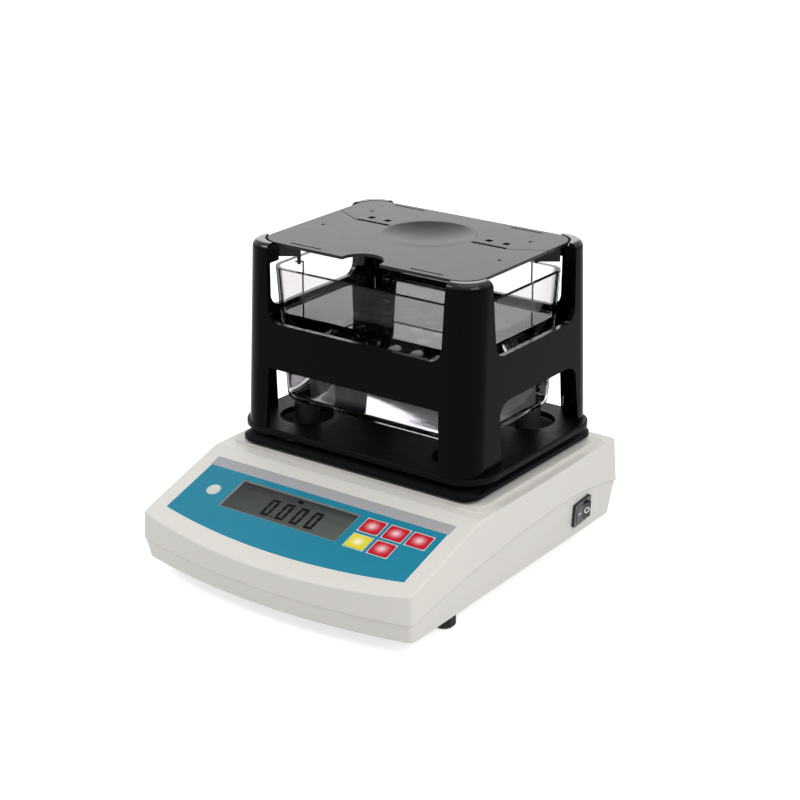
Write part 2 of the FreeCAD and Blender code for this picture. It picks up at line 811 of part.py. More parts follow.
def load_cell():
    """Aluminium bar with two linked eyes, so that it bends as a parallelogram."""
    half = cell_width / 2
    bar = box(-half, half, cell_front_y, cell_rear_y, cell_z, cell_z + cell_height)
    middle_z = cell_z + cell_height / 2
    for side in (-1, 1):
        eye = Part.makeCylinder(cell_eye_radius, cell_width + 2,
                                Vector(-half - 1, stage_y + side * cell_eye_spacing / 2, middle_z),
                                Vector(1, 0, 0))
        bar = bar.cut(eye)
    bar = bar.cut(box(-half - 1, half + 1, stage_y - cell_eye_spacing / 2,
                      stage_y + cell_eye_spacing / 2, middle_z - cell_slot, middle_z + cell_slot))
    for x, y in cell_screw_places(False):
        bar = bar.cut(cylinder(x, y, cell_z - 1, cell_z + 12, main_screw_radius))
    for x, y in cell_screw_places(True):
        bar = bar.cut(cylinder(x, y, cell_z + cell_height - 12, cell_z + cell_height + 1,
                               main_screw_radius))
    return bar


def load_cell_screws_lower():
    return Part.makeCompound([
        head_screw(x, y, plate_z, cell_z + 10, main_screw_radius - 0.02, main_head_radius, main_head_height)
        for x, y in cell_screw_places(False)])


def load_cell_screws_upper():
    return Part.makeCompound([
        head_screw(x, y, bracket_z + bracket_thickness, cell_z + cell_height - 10,
                   main_screw_radius - 0.02, main_head_radius, main_head_height)
        for x, y in cell_screw_places(True)])


def stage_hub():
    """Arm from the free end of the load cell back to the middle, with the hub post."""
    arm = box(-cell_width / 2, cell_width / 2, stage_y - cell_width / 2, cell_rear_y,
              bracket_z, bracket_z + bracket_thickness)
    arm = arm.makeFillet(6.0, [edge for edge, middle in upright_edges(arm)])
    post = cylinder(0, stage_y, bracket_z, tray_z, hub_radius)
    flange = cylinder(0, stage_y, tray_z - hub_flange_thickness, tray_z, hub_flange_radius)
    hub = fuse(arm, post, flange)
    for x, y in cell_screw_places(True):
        hub = hub.cut(cylinder(x, y, bracket_z - 1, bracket_z + bracket_thickness + 1,
                               main_screw_radius + fit_gap))
    for x, y in hub_screw_places():
        hub = hub.cut(cylinder(x, y, tray_z - hub_flange_thickness - 1, tray_z + 1, case_screw_radius))
    return hub


def hub_screw_places():
    reach = (hub_radius + hub_flange_radius) / 2
    return [(reach * math.cos(math.radians(angle)), stage_y + reach * math.sin(math.radians(angle)))
            for angle in (45, 135, 225, 315)]


def main_board_screw_places():
    inset = boss_radius + 0.5
    return [(x, y) for x in (main_board_left + inset, main_board_right - inset)
            for y in (main_board_front_y + inset, main_board_rear_y - inset)]


def main_board():
    z = floor_z + standoff_height
    board = box(main_board_left, main_board_right, main_board_front_y, main_board_rear_y,
                z, z + board_thickness)
    for x, y in main_board_screw_places():
        board = board.cut(cylinder(x, y, z - 1, z + board_thickness + 1, small_screw_radius + fit_gap))
    return board


def main_board_screws():
    top = floor_z + standoff_height + board_thickness
    return Part.makeCompound([
        head_screw(x, y, top, foot_height + 2, small_screw_radius - 0.02,
                   small_head_radius, small_head_height)
        for x, y in main_board_screw_places()])


def board_components():
    """Converter, processor, capacitor and the plugs for the ribbon and the load cell."""
    z = floor_z + standoff_height + board_thickness
    left = main_board_left
    right = main_board_right
    front = main_board_front_y
    parts = [
        box(left + 6, left + 18, front + 20, front + 34, z, z + 2.2),
        box(left + 6, left + 16, front + 48, front + 66, z, z + 3.0),
        cylinder(right - 10, front + 66, z, z + 11, 4),
        box(right - 14, right - 6, front + 22, front + 46, z, z + 7),
        box(left + 8, left + 24, front + 74, front + 80, z, z + 6),
    ]
    return Part.makeCompound(parts)


def dc_inlet():
    """Panel jack in the rear wall: threaded sleeve, outer ring and centre pin."""
    back = Vector(0, -1, 0)
    mouth = Vector(inlet_x, inlet_seat_y + inlet_ring, inlet_z)
    sleeve = Part.makeCylinder(inlet_radius, inlet_depth + 4, mouth, back)
    ring = Part.makeCylinder(inlet_flange_radius, inlet_ring, mouth, back)
    jack = fuse(sleeve, ring).cut(Part.makeCylinder(inlet_bore_radius, inlet_depth, mouth, back))
    pin = Part.makeCylinder(inlet_pin_radius, inlet_depth,
                            Vector(inlet_x, mouth.y - inlet_depth, inlet_z), Vector(0, 1, 0))
    return fuse(jack, pin)


def case_screws():
    return Part.makeCompound([
        head_screw(x, y, foot_height + 5, case_joint_z(y) + 11, case_screw_radius - 0.02,
                   case_head_radius, 2.0)
        for x, y in case_screw_places])


# ---- rocker switch -----------------------------------------------------------------------------
switch_x = wall_x(switch_y, switch_z)
switch_frame = Placement(Vector(switch_x, switch_y, switch_z),
                         Rotation(Vector(0, 1, 0), math.degrees(math.atan(lower_draft))).multiply(
                             Rotation(Vector(1, 0, 0), switch_tilt)))


def in_wall(shape):
    """Move a shape drawn with +X out of the wall and Y along it onto the right-hand wall."""
    placed = shape.copy()
    placed.Placement = switch_frame.multiply(placed.Placement)
    return placed


def switch_bezel():
    half_l = bezel_length / 2
    half_h = bezel_height / 2
    rim = box(0, bezel_proud, -half_l, half_l, -half_h, half_h)
    corners = [edge for edge in rim.Edges if abs(edge.BoundBox.XLength - bezel_proud) < 0.01]
    rim = rim.makeFillet(bezel_corner, corners)
    body = box(-switch_depth, 0, -switch_body_length / 2, switch_body_length / 2,
               -switch_body_height / 2, switch_body_height / 2)
    bezel = fuse(rim, body)
    pocket = box(-rocker_core - 4, bezel_proud + 1, -half_l + bezel_rim, half_l - bezel_rim,
                 -half_h + bezel_rim, half_h - bezel_rim)
    bezel = bezel.cut(pocket)
    pin_hole = Part.makeCylinder(rocker_pin_radius + thread_gap, bezel_height - 2 * bezel_rim + 2,
                                 Vector(0, 0, -half_h + bezel_rim - 1), Vector(0, 0, 1))
    bezel = bezel.cut(pin_hole)
    for offset in (-4.5, 4.5):
        bezel = bezel.fuse(box(-switch_depth - 7, -switch_depth + 1, offset - 0.4, offset + 0.4, -2.4, 2.4))
    return in_wall(bezel.removeSplitter())


def rocker():
    """Rocker with two flats, resting with its front half pressed in."""
    reach = bezel_length / 2 - bezel_rim - rocker_gap
    half_h = bezel_height / 2 - bezel_rim - rocker_gap
    fall = math.tan(math.radians(rocker_angle)) * reach
    face = bezel_proud + 0.2
    profile = polygon([
        Vector(face, 0, -half_h),
        Vector(face + fall, reach * 0.97, -half_h),
        Vector(-2.0, reach * 0.97, -half_h),
        Vector(-rocker_core, 0, -half_h),
        Vector(-2.0, -reach * 0.97, -half_h),
        Vector(face + fall, -reach * 0.97, -half_h),
    ])
    cap = extrude(profile, 2 * half_h)
    pin = Part.makeCylinder(rocker_pin_radius, 2 * half_h + 1.5, Vector(0, 0, -half_h - 0.75),
                            Vector(0, 0, 1))
    piece = fuse(cap, pin)
    piece.rotate(Vector(0, 0, 0), Vector(0, 0, 1), -rocker_angle)
    return in_wall(piece)


# ---- slab, tray and stand ------------------------------------------------------------------------
def four_places(x, y):
    """Four places set symmetrically about the stand's centre."""
    return [(sx * x, stage_y + sy * y) for sx in (-1, 1) for sy in (-1, 1)]


def slab_screw_places():
    return four_places(tank_post_x, tank_post_y - 20)


def support_slab():
    """Bevelled slab on a foot that stands in from its edge."""
    half_length = slab_length / 2
    foot = extrude(rounded_outline(slab_half_width - slab_foot_inset, half_length - slab_foot_inset,
                                   slab_corner - slab_foot_inset, seat_z, stage_y), slab_foot_height)
    rim = extrude(rounded_outline(slab_half_width, half_length, slab_corner, slab_z, stage_y), slab_edge)
    slope_part = loft(
        rounded_outline(slab_half_width, half_length, slab_corner, slab_z + slab_edge, stage_y),
        rounded_outline(slab_half_width - slab_chamfer, half_length - slab_chamfer,
                        slab_corner - slab_chamfer, slab_top_z, stage_y))
    slab = fuse(foot, rim, slope_part)
    slab = slab.cut(cylinder(0, stage_y, seat_z - 1, slab_top_z + 1, hub_hole_radius))
    for x, y in slab_screw_places():
        slab = slab.cut(cylinder(x, y, seat_z - 1, seat_z + 4, case_screw_radius))
    for x, y in four_places(tank_post_x, tank_post_y):
        slab = slab.cut(cylinder(x, y, seat_z - 1, slab_top_z - 1, case_screw_radius))
    return slab


def slab_screws():
    return Part.makeCompound([
        head_screw(x, y, roof_z, seat_z + 3.5, case_screw_radius - 0.02, case_head_radius, 2.0)
        for x, y in slab_screw_places()])


def tank_posts():
    posts = []
    top = tank_z - rest_gap
    for x, y in four_places(tank_post_x, tank_post_y):
        post = cylinder(x, y, slab_top_z, top, tank_post_radius)
        rim = [edge for edge in post.Edges if edge.BoundBox.ZMin > top - 0.01]
        posts.append(post.makeFillet(1.0, rim))
    return Part.makeCompound(posts)


def weighing_tray():
    plate = extrude(rounded_outline(tray_half_width, tray_half_length, tray_corner, tray_z, stage_y),
                    tray_thickness)
    rim = [edge for edge in plate.Edges if edge.BoundBox.ZMin > tray_top_z - 0.01]
    plate = plate.makeFillet(tray_edge_radius, rim)
    for x, y in four_places(tank_post_x, tank_post_y):
        plate = plate.cut(cylinder(x, y, tray_z - 1, tray_top_z + 1, tray_hole_radius))
    for x, y in hub_screw_places():
        plate = plate.cut(cylinder(x, y, tray_z - 1, tray_top_z + 1, case_screw_radius + fit_gap))
        plate = plate.cut(cylinder(x, y, tray_top_z - 1.8, tray_top_z + 1, case_head_radius + fit_gap))
    for x, y in leg_places():
        plate = plate.cut(cylinder(x, y, tray_z - 1, tray_top_z + 1, case_screw_radius + fit_gap))
        plate = plate.cut(cylinder(x, y, tray_z - 1, tray_z + 1.8, case_head_radius + fit_gap))
    return plate


def tray_screws():
    return Part.makeCompound([
        head_screw(x, y, tray_top_z - 1.8, tray_z - hub_flange_thickness, case_screw_radius - 0.02, case_head_radius, 1.6)
        for x, y in hub_screw_places()])


def leg_places():
    return four_places(stand_foot_half_width - leg_boss_inset, stand_foot_half_length - leg_boss_inset)


def stand_screws():
    return Part.makeCompound([
        head_screw(x, y, tray_z + 1.8, tray_top_z + 9, case_screw_radius - 0.02, case_head_radius, 1.6)
        for x, y in leg_places()])


def stand_form(inset, low, high):
    """Tapered block of the stand between two heights above the tray."""
    def outline(height):
        share = height / stand_height
        half_x = stand_foot_half_width + (stand_top_half_width - stand_foot_half_width) * share
        half_y = stand_foot_half_length + (stand_top_half_length - stand_foot_half_length) * share
        return rounded_outline(half_x - inset, half_y - inset, stand_corner - inset,
                               tray_top_z + height, stage_y)
    return loft(outline(low), outline(high))


def window_cutter(low, high, low_span, high_span, radius, rounded_at, along_x):
    """Tapered window prism that runs right through the stand."""
    reach = 2 * stand_foot_half_width
    corners = [(low_span[0], low), (low_span[1], low), (high_span[1], high), (high_span[0], high)]
    if along_x:
        points = [Vector(-reach, stage_y + u, tray_top_z + v) for u, v in corners]
        travel = Vector(2 * reach, 0, 0)
    else:
        points = [Vector(u, stage_y - reach, tray_top_z + v) for u, v in corners]
        travel = Vector(0, 2 * reach, 0)
    prism = Part.Face(polygon(points)).extrude(travel)
    if radius:
        chosen = []
        for edge in prism.Edges:
            size = edge.BoundBox
            along = size.XLength if along_x else size.YLength
            middle_z = (size.ZMin + size.ZMax) / 2
            if along > reach and abs(middle_z - tray_top_z - rounded_at) < 0.01:
                chosen.append(edge)
        prism = prism.makeFillet(radius, chosen)
    return prism


def stand_frame():
    shell = stand_form(0, 0, stand_height)
    rim = [edge for edge in shell.Edges if edge.BoundBox.ZMin > stand_top_z - 0.01]
    shell = shell.makeFillet(stand_top_radius, rim)
    seat_top = deck_z
    hollow_top = seat_top - deck_seat - tray_top_z
    shell = shell.cut(stand_form(stand_wall, -5, hollow_top))
    recess = extrude(rounded_outline(deck_half_width + deck_recess_gap, deck_half_length + deck_recess_gap,
                                     deck_corner + deck_recess_gap, seat_top, stage_y), 20)
    shell = shell.cut(recess)
    way_x = tank_rim_half_width + tank_way_gap
    way_y = tank_rim_half_length + tank_way_gap
    shell = shell.cut(box(-way_x, way_x, stage_y - way_y, stage_y + way_y,
                          tray_top_z + belt_high, stand_top_z + 1))
    above = stand_height + 10
    front_low = front_window_low
    front_high = front_window_high
    shell = shell.cut(window_cutter(-5, belt_low, (-front_low[0], front_low[0]),
                                    (-front_low[1], front_low[1]), 0, 0, False))
    shell = shell.cut(window_cutter(belt_high, above, (-front_high[0], front_high[0]),
                                    (-front_high[1], front_high[1]), high_window_radius, belt_high, False))
    shell = shell.cut(window_cutter(-5, belt_low, side_window_low[:2], side_window_low[2:],
                                    low_window_radius, belt_low, True))
    shell = shell.cut(window_cutter(belt_high, above, side_window_high[:2], side_window_high[2:],
                                    high_window_radius, belt_high, True))
    bosses = []
    for x, y in leg_places():
        boss = cylinder(x, y, tray_top_z, tray_top_z + leg_boss_height, leg_boss_radius)
        web_x = box(min(x, x * 1.1), max(x, x * 1.1), y - 1.5, y + 1.5, tray_top_z, tray_top_z + leg_boss_height)
        bosses += [boss, web_x]
    shell = fuse(shell, *bosses).common(stand_form(0, 0, stand_height))
    for x, y in leg_places():
        shell = shell.cut(cylinder(x, y, tray_top_z - 1, tray_top_z + leg_boss_height - 2, case_screw_radius))
    return shell


# ---- deck --------------------------------------------------------------------------------------------
def seam_region(gap):
    """Area behind the seam, which kinks rearwards near both edges."""
    far = 2 * stand_foot_half_width
    seam_y = stage_y + seam_offset + gap
    edge_y = seam_y + seam_rise
    slope_run = (far - seam_knee) * seam_rise / (deck_half_width - seam_knee)
    wire = polygon([
        Vector(-far, seam_y + slope_run, deck_z - 40), Vector(-seam_knee, seam_y, deck_z - 40),
        Vector(seam_knee, seam_y, deck_z - 40), Vector(far, seam_y + slope_run, deck_z - 40),
        Vector(far, edge_y + far * 3, deck_z - 40), Vector(-far, edge_y + far * 3, deck_z - 40),
    ])
    return extrude(wire, 80)


def deck_plate():
    return extrude(rounded_outline(deck_half_width, deck_half_length, deck_corner, deck_z, stage_y),
                   deck_thickness)


def dish_sphere(extra):
    radius = (dish_radius ** 2 + dish_depth ** 2) / (2 * dish_depth)
    return Part.makeSphere(radius + extra, Vector(0, stage_y + seam_offset, deck_top_z - dish_depth + radius))


def along_diagonal(shape, sign):
    """Turn a shape drawn along +X to the diagonal: rear right for +1, front left for -1."""
    turn = math.degrees(math.atan2(sign * wire_y, sign * wire_x))
    turned = shape.copy()
    turned.rotate(Vector(0, 0, 0), Vector(0, 0, 1), turn)
    turned.translate(Vector(0, stage_y, 0))
    return turned


def wire_reach():
    return math.hypot(wire_x, wire_y)


def hanger_arm(sign):
    """Upright web under the deck that ends in the round tab of a basket wire."""
    tab = wire_reach() + wire_set_in
    outer = arm_outer_x / wire_x * wire_reach()
    low = deck_z - (rear_arm_drop if sign > 0 else front_arm_drop)
    half = tab_width / 2
    web = box(tab - half, outer, -arm_thickness / 2, arm_thickness / 2, low, deck_z + deck_thickness / 2)
    tip_z = deck_z - tab_drop + half
    drop = box(tab - half, tab + half, -arm_thickness / 2, arm_thickness / 2, tip_z, low + 1)
    tip = Part.makeCylinder(half, arm_thickness, Vector(tab, -arm_thickness / 2, tip_z), Vector(0, 1, 0))
    arm = fuse(web, drop, tip)
    eye = Part.makeCylinder(wire_radius + thread_gap, 4 * tab_width, Vector(tab - 2 * tab_width, 0, hook_z()),
                            Vector(1, 0, 0))
    return along_diagonal(arm.cut(eye), sign)


def hook_z():
    return deck_z - tab_drop + hook_rise


def snap_tongue(sign):
    """Tongue of the front plate that reaches under the rear plate, with its two hooks."""
    seam_y = stage_y + seam_offset
    hook_y = stage_y + snap_window_offset
    half = snap_window / 2 - fit_gap
    inner = sign * snap_slot_inner
    outer = sign * snap_slot_outer
    x0, x1 = min(inner, outer), max(inner, outer)
    under = deck_z - tongue_thickness
    tongue = box(x0 + 0.5, x1 - 0.5, seam_y - 6, hook_y + half, under - 0.05, deck_z - 0.05)
    root = box(x0 + 0.5, x1 - 0.5, seam_y - 6, seam_y - 2, under, deck_z + 0.5)
    parts = [tongue, root]
    for x in snap_window_x:
        parts.append(box(sign * x - half, sign * x + half, hook_y - half, hook_y + half,
                         under, deck_z + deck_thickness / 2))
    return fuse(*parts)


def edge_slots(sign_y):
    slots = []
    y = stage_y + sign_y * (deck_half_length - edge_slot_inset)
    for sign_x in (-1, 1):
        x0, x1 = sorted((sign_x * edge_slot_inner, sign_x * edge_slot_outer))
        slots.append(box(x0, x1, y - edge_slot_width / 2, y + edge_slot_width / 2,
                         deck_z - 1, deck_top_z + 1))
    return slots


def pin_holes(plate, index):
    x, offset = deck_pin_places[index]
    for sign in (-1, 1):
        plate = plate.cut(cylinder(sign * x, stage_y + offset, deck_z + 0.6, deck_top_z + 1,
                                   deck_pin_radius))
    return plate


def front_deck():
    seam_y = stage_y + seam_offset
    plate = deck_plate()
    tongue = cylinder(0, seam_y, deck_z, deck_top_z, dish_radius + dish_tongue_margin)
    plate = fuse(plate.cut(seam_region(0)), tongue)
    shell = dish_sphere(dish_wall).common(cylinder(0, seam_y, deck_z - 2 * dish_depth,
                                                   deck_z + 0.5, dish_radius + dish_tongue_margin))
    plate = fuse(plate, shell).cut(dish_sphere(0))
    for sign in (-1, 1):
        plate = plate.fuse(snap_tongue(sign))
    plate = plate.fuse(hanger_arm(-1))
    notch_y = stage_y - deck_half_length + notch_offset
    plate = plate.cut(cylinder(0, notch_y, deck_z - 20, deck_top_z + 1, notch_radius))
    for slot in edge_slots(-1):
        plate = plate.cut(slot)
    return pin_holes(plate.removeSplitter(), 0)


def rear_deck():
    seam_y = stage_y + seam_offset
    plate = deck_plate().common(seam_region(deck_seam_gap))
    plate = plate.cut(cylinder(0, seam_y, deck_z - 1, deck_top_z + 1,
                               dish_radius + dish_tongue_margin + dish_tongue_gap))
    for sign in (-1, 1):
        x0, x1 = sorted((sign * snap_slot_inner, sign * snap_slot_outer))
        plate = plate.cut(box(x0, x1, seam_y - 1, seam_y + snap_slot_depth, deck_z - 1, deck_top_z + 1))
        for x in snap_window_x:
            half = snap_window / 2
            y = stage_y + snap_window_offset
            plate = plate.cut(box(sign * x - half, sign * x + half, y - half, y + half,
                                  deck_z - 1, deck_top_z + 1))
    plate = plate.fuse(hanger_arm(1))
    for slot in edge_slots(1):
        plate = plate.cut(slot)
    return pin_holes(plate.removeSplitter(), 1)


# ---- basket -------------------------------------------------------------------------------------------
def basket():
    """Shallow perforated pan of thin sheet."""
    z = tray_top_z + basket_bottom
    outer = extrude(rounded_outline(basket_half_width, basket_half_length, basket_corner, z, stage_y),
                    basket_depth)
    inner = extrude(rounded_outline(basket_half_width - basket_sheet, basket_half_length - basket_sheet,
                                    basket_corner - basket_sheet, z + basket_sheet, stage_y), basket_depth)
    pan = outer.cut(inner)
    holes = []
    columns = int((basket_half_width - basket_corner) / basket_hole_pitch)
    rows = int((basket_half_length - basket_corner) / basket_hole_pitch)
    for column in range(-columns, columns + 1):
        for row in range(-rows, rows + 1):
            holes.append(cylinder(column * basket_hole_pitch, stage_y + row * basket_hole_pitch,
                                  z - 1, z + basket_sheet + 1, basket_hole_radius))
    return pan.cut(Part.makeCompound(holes))


def basket_wire(sign):
    """One hanger: a hook through the tab, the straight drop, and a foot on the pan's rim."""
    reach = wire_reach()
    foot_z = tray_top_z + basket_bottom + basket_depth + wire_radius
    hook_length = wire_set_in + tab_width
    drop = cylinder(reach, 0, foot_z, hook_z(), wire_radius)
    hook = Part.makeCylinder(wire_radius, hook_length, Vector(reach, 0, hook_z()), Vector(1, 0, 0))
    foot = Part.makeCylinder(wire_radius, wire_foot, Vector(reach - wire_foot / 2, 0, foot_z), Vector(1, 0, 0))
    elbow = Part.makeSphere(wire_radius, Vector(reach, 0, hook_z()))
    return along_diagonal(fuse(drop, hook, foot, elbow), sign)


def basket_wires():
    return Part.makeCompound([basket_wire(sign) for sign in (-1, 1)])


# ---- tank ------------------------------------------------------------------------------------------------
def tank_form(inset, low, high):
    def outline(height):
        share = height / tank_height
        half_x = tank_foot_half_width + (tank_rim_half_width - tank_foot_half_width) * share
        half_y = tank_foot_half_length + (tank_rim_half_length - tank_foot_half_length) * share
        return rounded_outline(half_x - inset, half_y - inset, tank_corner - inset,
                               tank_z + height, stage_y)
    return loft(outline(low), outline(high))


def round_foot(solid, radius, z):
    rim = [edge for edge in solid.Edges if edge.BoundBox.ZMax < z + 0.01]
    return solid.makeFillet(radius, rim)


def water_tank():
    outer = round_foot(tank_form(0, 0, tank_height), tank_foot_radius, tank_z)
    inner = round_foot(tank_form(tank_wall, tank_floor, tank_height + 1),
                       tank_foot_radius - tank_wall, tank_z + tank_floor)
    return outer.cut(inner)


# ---- all pieces -----------------------------------------------------------------------------------------------
def all_pieces():
    pieces = {
        "upper_housing": upper_housing(),
        "lower_housing": lower_housing(),
        "fascia_overlay": fascia_overlay(),
        "lcd_lens": lcd_lens(),
        "lcd_module": lcd_module(),
        "level_vial": level_vial(),
        "key_board": key_board(),
        "key_switches": key_switches(),
        "key_board_screws": key_board_screws(),
        "main_board": main_board(),
        "main_board_screws": main_board_screws(),
        "board_components": board_components(),
        "base_plate": base_plate(),
        "plate_screws": plate_screws(),
        "cell_spacer_lower": cell_spacer(False),
        "cell_spacer_upper": cell_spacer(True),
        "load_cell": load_cell(),
        "load_cell_screws_lower": load_cell_screws_lower(),
        "load_cell_screws_upper": load_cell_screws_upper(),
        "stage_hub": stage_hub(),
        "case_screws": case_screws(),
        "dc_inlet": dc_inlet(),
        "switch_bezel": switch_bezel(),
        "rocker": rocker(),
        "support_slab": support_slab(),
        "slab_screws": slab_screws(),
        "tank_posts": tank_posts(),
        "weighing_tray": weighing_tray(),
        "tray_screws": tray_screws(),
        "stand_frame": stand_frame(),
        "stand_screws": stand_screws(),
        "front_deck": front_deck(),
        "rear_deck": rear_deck(),
        "basket_wires": basket_wires(),
        "basket": basket(),
        "water_tank": water_tank(),
    }
    for name, (x, y) in zip(key_names, key_places()):
        pieces[name] = key_pad(x, y)
    for name, (x, y) in foot_places().items():
        pieces["foot_" + name] = foot_pad(x, y)
        pieces["foot_stud_" + name] = foot_stud(x, y)
    return pieces


os.makedirs("parts", exist_ok=True)
for name, shape in all_pieces().items():
    shape.exportStep(os.path.join("parts", name + ".step"))
    print(name, len(shape.Solids), round(shape.Volume), shape.isValid())
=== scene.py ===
import math

import bmesh
import bpy
from mathutils import Matrix, Vector


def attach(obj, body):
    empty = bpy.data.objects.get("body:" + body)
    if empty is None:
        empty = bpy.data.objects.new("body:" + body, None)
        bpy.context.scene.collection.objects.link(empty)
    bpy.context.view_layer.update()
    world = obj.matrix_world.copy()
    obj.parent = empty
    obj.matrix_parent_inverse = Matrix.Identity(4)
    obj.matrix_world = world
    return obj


# Looks of a benchtop density meter: textured pale housing, printed key panel, satin black
# stand and deck, clear tank with water.  Metres; +X right, +Y to the rear, +Z up.

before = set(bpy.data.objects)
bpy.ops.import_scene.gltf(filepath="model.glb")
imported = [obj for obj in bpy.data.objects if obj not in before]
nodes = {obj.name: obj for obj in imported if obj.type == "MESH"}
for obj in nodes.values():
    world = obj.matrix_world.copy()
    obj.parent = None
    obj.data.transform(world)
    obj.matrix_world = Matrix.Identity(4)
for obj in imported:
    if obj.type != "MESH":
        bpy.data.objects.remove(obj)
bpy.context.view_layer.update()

MM = 0.001

# ---- colours, linear ----
HOUSING = (0.66, 0.64, 0.60)
STAND_BLACK = (0.0018, 0.0018, 0.0021)
DECK_BLACK = (0.009, 0.008, 0.0085)
WIRE_DARK = (0.12, 0.12, 0.125)
TEXTURED_BLACK = (0.0025, 0.0025, 0.0028)
SWITCH_BLACK = (0.014, 0.014, 0.016)
RUBBER_BLACK = (0.016, 0.016, 0.016)
TEAL = (0.013, 0.205, 0.305)
BAND_GREY = (0.36, 0.36, 0.37)
# pale for the painted highlight along the overlay's front and sides, and for the printed frames
# round the keys
HIGHLIGHT_AND_PRINT_WHITE = (0.80, 0.80, 0.78)
LCD_DARK = (0.040, 0.048, 0.047)
LCD_LIGHT = (0.165, 0.185, 0.170)
LCD_SEGMENT = (0.0012, 0.0015, 0.0015)
LCD_SHADE = 0.4
LCD_FRAME = (0.30, 0.25, 0.23)
# painted shade for the dark edges that bent light gives along the tank's rim and the waterline
PAINTED_EDGE_SHADE = (0.03, 0.03, 0.035)
# painted shade for the tank's round corners, which bend light most
PAINTED_CORNER_SHADE = (0.03, 0.03, 0.04)
KEY_RED = (0.52, 0.008, 0.022)
KEY_YELLOW = (0.70, 0.62, 0.03)
KEY_GLOW = (0.85, 0.52, 0.54)
KEY_GLOW_YELLOW = (0.86, 0.84, 0.55)
VIAL_WHITE = (0.55, 0.56, 0.53)
MARK_WHITE = (0.75, 0.75, 0.75)
TANK_TINT = (0.80, 0.785, 0.80)
WATER_TINT = (0.93, 0.935, 0.95)
WINDOW_TINT = (1.0, 1.0, 1.0)
FLOOR_PAPER = ((0.80, 0.80, 0.80), (0.84, 0.84, 0.84))
STEEL = (0.56, 0.56, 0.57)
# steel darkened with painted shade, for the shade under the deck and the dark stand it mirrors
SHADED_PAN_STEEL = (0.020, 0.020, 0.021)
ALUMINIUM = (0.70, 0.71, 0.72)
BOARD_GREEN = (0.012, 0.12, 0.035)

# ---- parting line of the housing, as Y and Z of its crown and the radii of its two arcs ----
SEAM_CROWN = (50.0 * MM, 38.8 * MM)
SEAM_FRONT_RADIUS = 645.1 * MM
SEAM_REAR_RADIUS = 240.8 * MM
SEAM_FRONT_Z = 21.0 * MM
SEAM_HALF_WIDTH = 0.22 * MM
SEAM_SHADE = 0.66

# ---- key panel frame: the slope with its crease as the X axis ----
PANEL_ORIGIN = Vector((0, -35.3, 58.0)) * MM
PANEL_SLOPE = math.radians(17.4)
PANEL_MATRIX = Matrix.Translation(PANEL_ORIGIN) @ Matrix.Rotation(PANEL_SLOPE, 4, "X")
OVERLAY_REAR = 9.3 * MM
OVERLAY_HALF_WIDTH = 83.4 * MM
OVERLAY_SIDE_DEPTH = 49.5 * MM
OVERLAY_MIDDLE_DEPTH = 58.6 * MM
BAND_DEPTH = 7.5 * MM
# width of the painted highlight along the overlay's front and sides
RIM_LINE = 0.55 * MM
KEY_CENTRES = {
    "key_1": (40.4, 18.0),
    "key_2": (56.2, 18.0),
    "key_3": (71.6, 18.0),
    "key_enter": (40.4, 31.5),
    "key_zero": (56.2, 31.5),
}
KEY_HALF = (6.2 * MM, 5.2 * MM)
KEY_FRAME_LINE = 0.65 * MM
KEY_FRAME_SHADE = 0.75
KEY_GLOW_REACH = (0.15, 0.95)

# ---- display ----
DISPLAY_LEFT = -54.3 * MM
DISPLAY_RIGHT = 27.7 * MM
DISPLAY_REAR = 12.5 * MM
DISPLAY_FRONT = 35.9 * MM
DISPLAY_DROP = 1.0 * MM
DISPLAY_FRAME_LINE = 0.4 * MM
DISPLAY_SHADE_DEPTH = 5.0 * MM
DISPLAY_SHADE_SHARE = 0.75
DISPLAY_LIGHT_ACROSS = 0.7
DISPLAY_LIGHT_ALONG = 0.45
DIGIT_LEFT = (-28.1, -17.9, -7.7, 2.4)
DIGIT_WIDTH = 6.1 * MM
DIGIT_REAR = 18.8 * MM
DIGIT_HEIGHT = 13.9 * MM
SEGMENT_WIDTH = 1.95 * MM
SEGMENT_GAP = 0.10 * MM
SEGMENT_CUT = 0.60 * MM
POINT_X = -19.95 * MM
POINT_HALF = 0.7 * MM
BADGE_PLACE = (-11.4 * MM, 15.3 * MM)
BADGE_HALF = (1.9 * MM, 1.1 * MM)
INK_LIFT = 0.01 * MM
INK_THICKNESS = 0.04 * MM

# ---- rocker marks, on its two flats as it rests: along the wall and square to it ----
ROCKER_PIVOT = Vector((92.071, 71.0, 25.4)) * MM
ROCKER_FRAME = Matrix(((0.992877, 0.013488, 0.118379), (0.0, 0.993572, -0.113203),
                       (-0.119145, 0.112397, 0.986494)))
ROCKER_FACE = 2.2 * MM
ROCKER_ANGLE = math.radians(9.0)
MARK_HEIGHT = 0.04 * MM
STROKE_LENGTH = 2.7 * MM
STROKE_WIDTH = 0.75 * MM
RING_RADIUS = 1.65 * MM
RING_SIDES = 24
MARK_REACH = 3.2 * MM

# ---- tank and water ----
STAGE_Y = 36.9 * MM
TANK_FOOT_Z = 82.5 * MM
TANK_RIM_Z = 165.0 * MM
RIM_EDGE = 0.5 * MM
TANK_WALL = 2.2 * MM
TANK_FLOOR = 3.0 * MM
TANK_FOOT = (66.0 * MM, 44.9 * MM)
TANK_RIM = (70.1 * MM, 49.0 * MM)
TANK_CORNER = 11.0 * MM
TANK_FOOT_RADIUS = 6.5 * MM
CORNER_FADE = 18.0 * MM
CORNER_RAMP = (0.08, 0.42)
CORNER_STEPS = 6
TANK_IOR = 1.17
WATER_LEVEL = 137.0 * MM
WATER_INTO_WALL = 0.05 * MM
MENISCUS_RISE = 1.2 * MM
MENISCUS_REACH = 2.5 * MM
MENISCUS_EDGE = 0.1 * MM
MENISCUS_STEPS = 5
WATER_IOR = 1.333
WATER_LEAST_CORNER = 0.4 * MM

# ---- stand: the gloss that comes in where a surface turns upwards ----
GLOSS_TURN = (0.25, 0.65)
GLOSS_COAT = 0.6

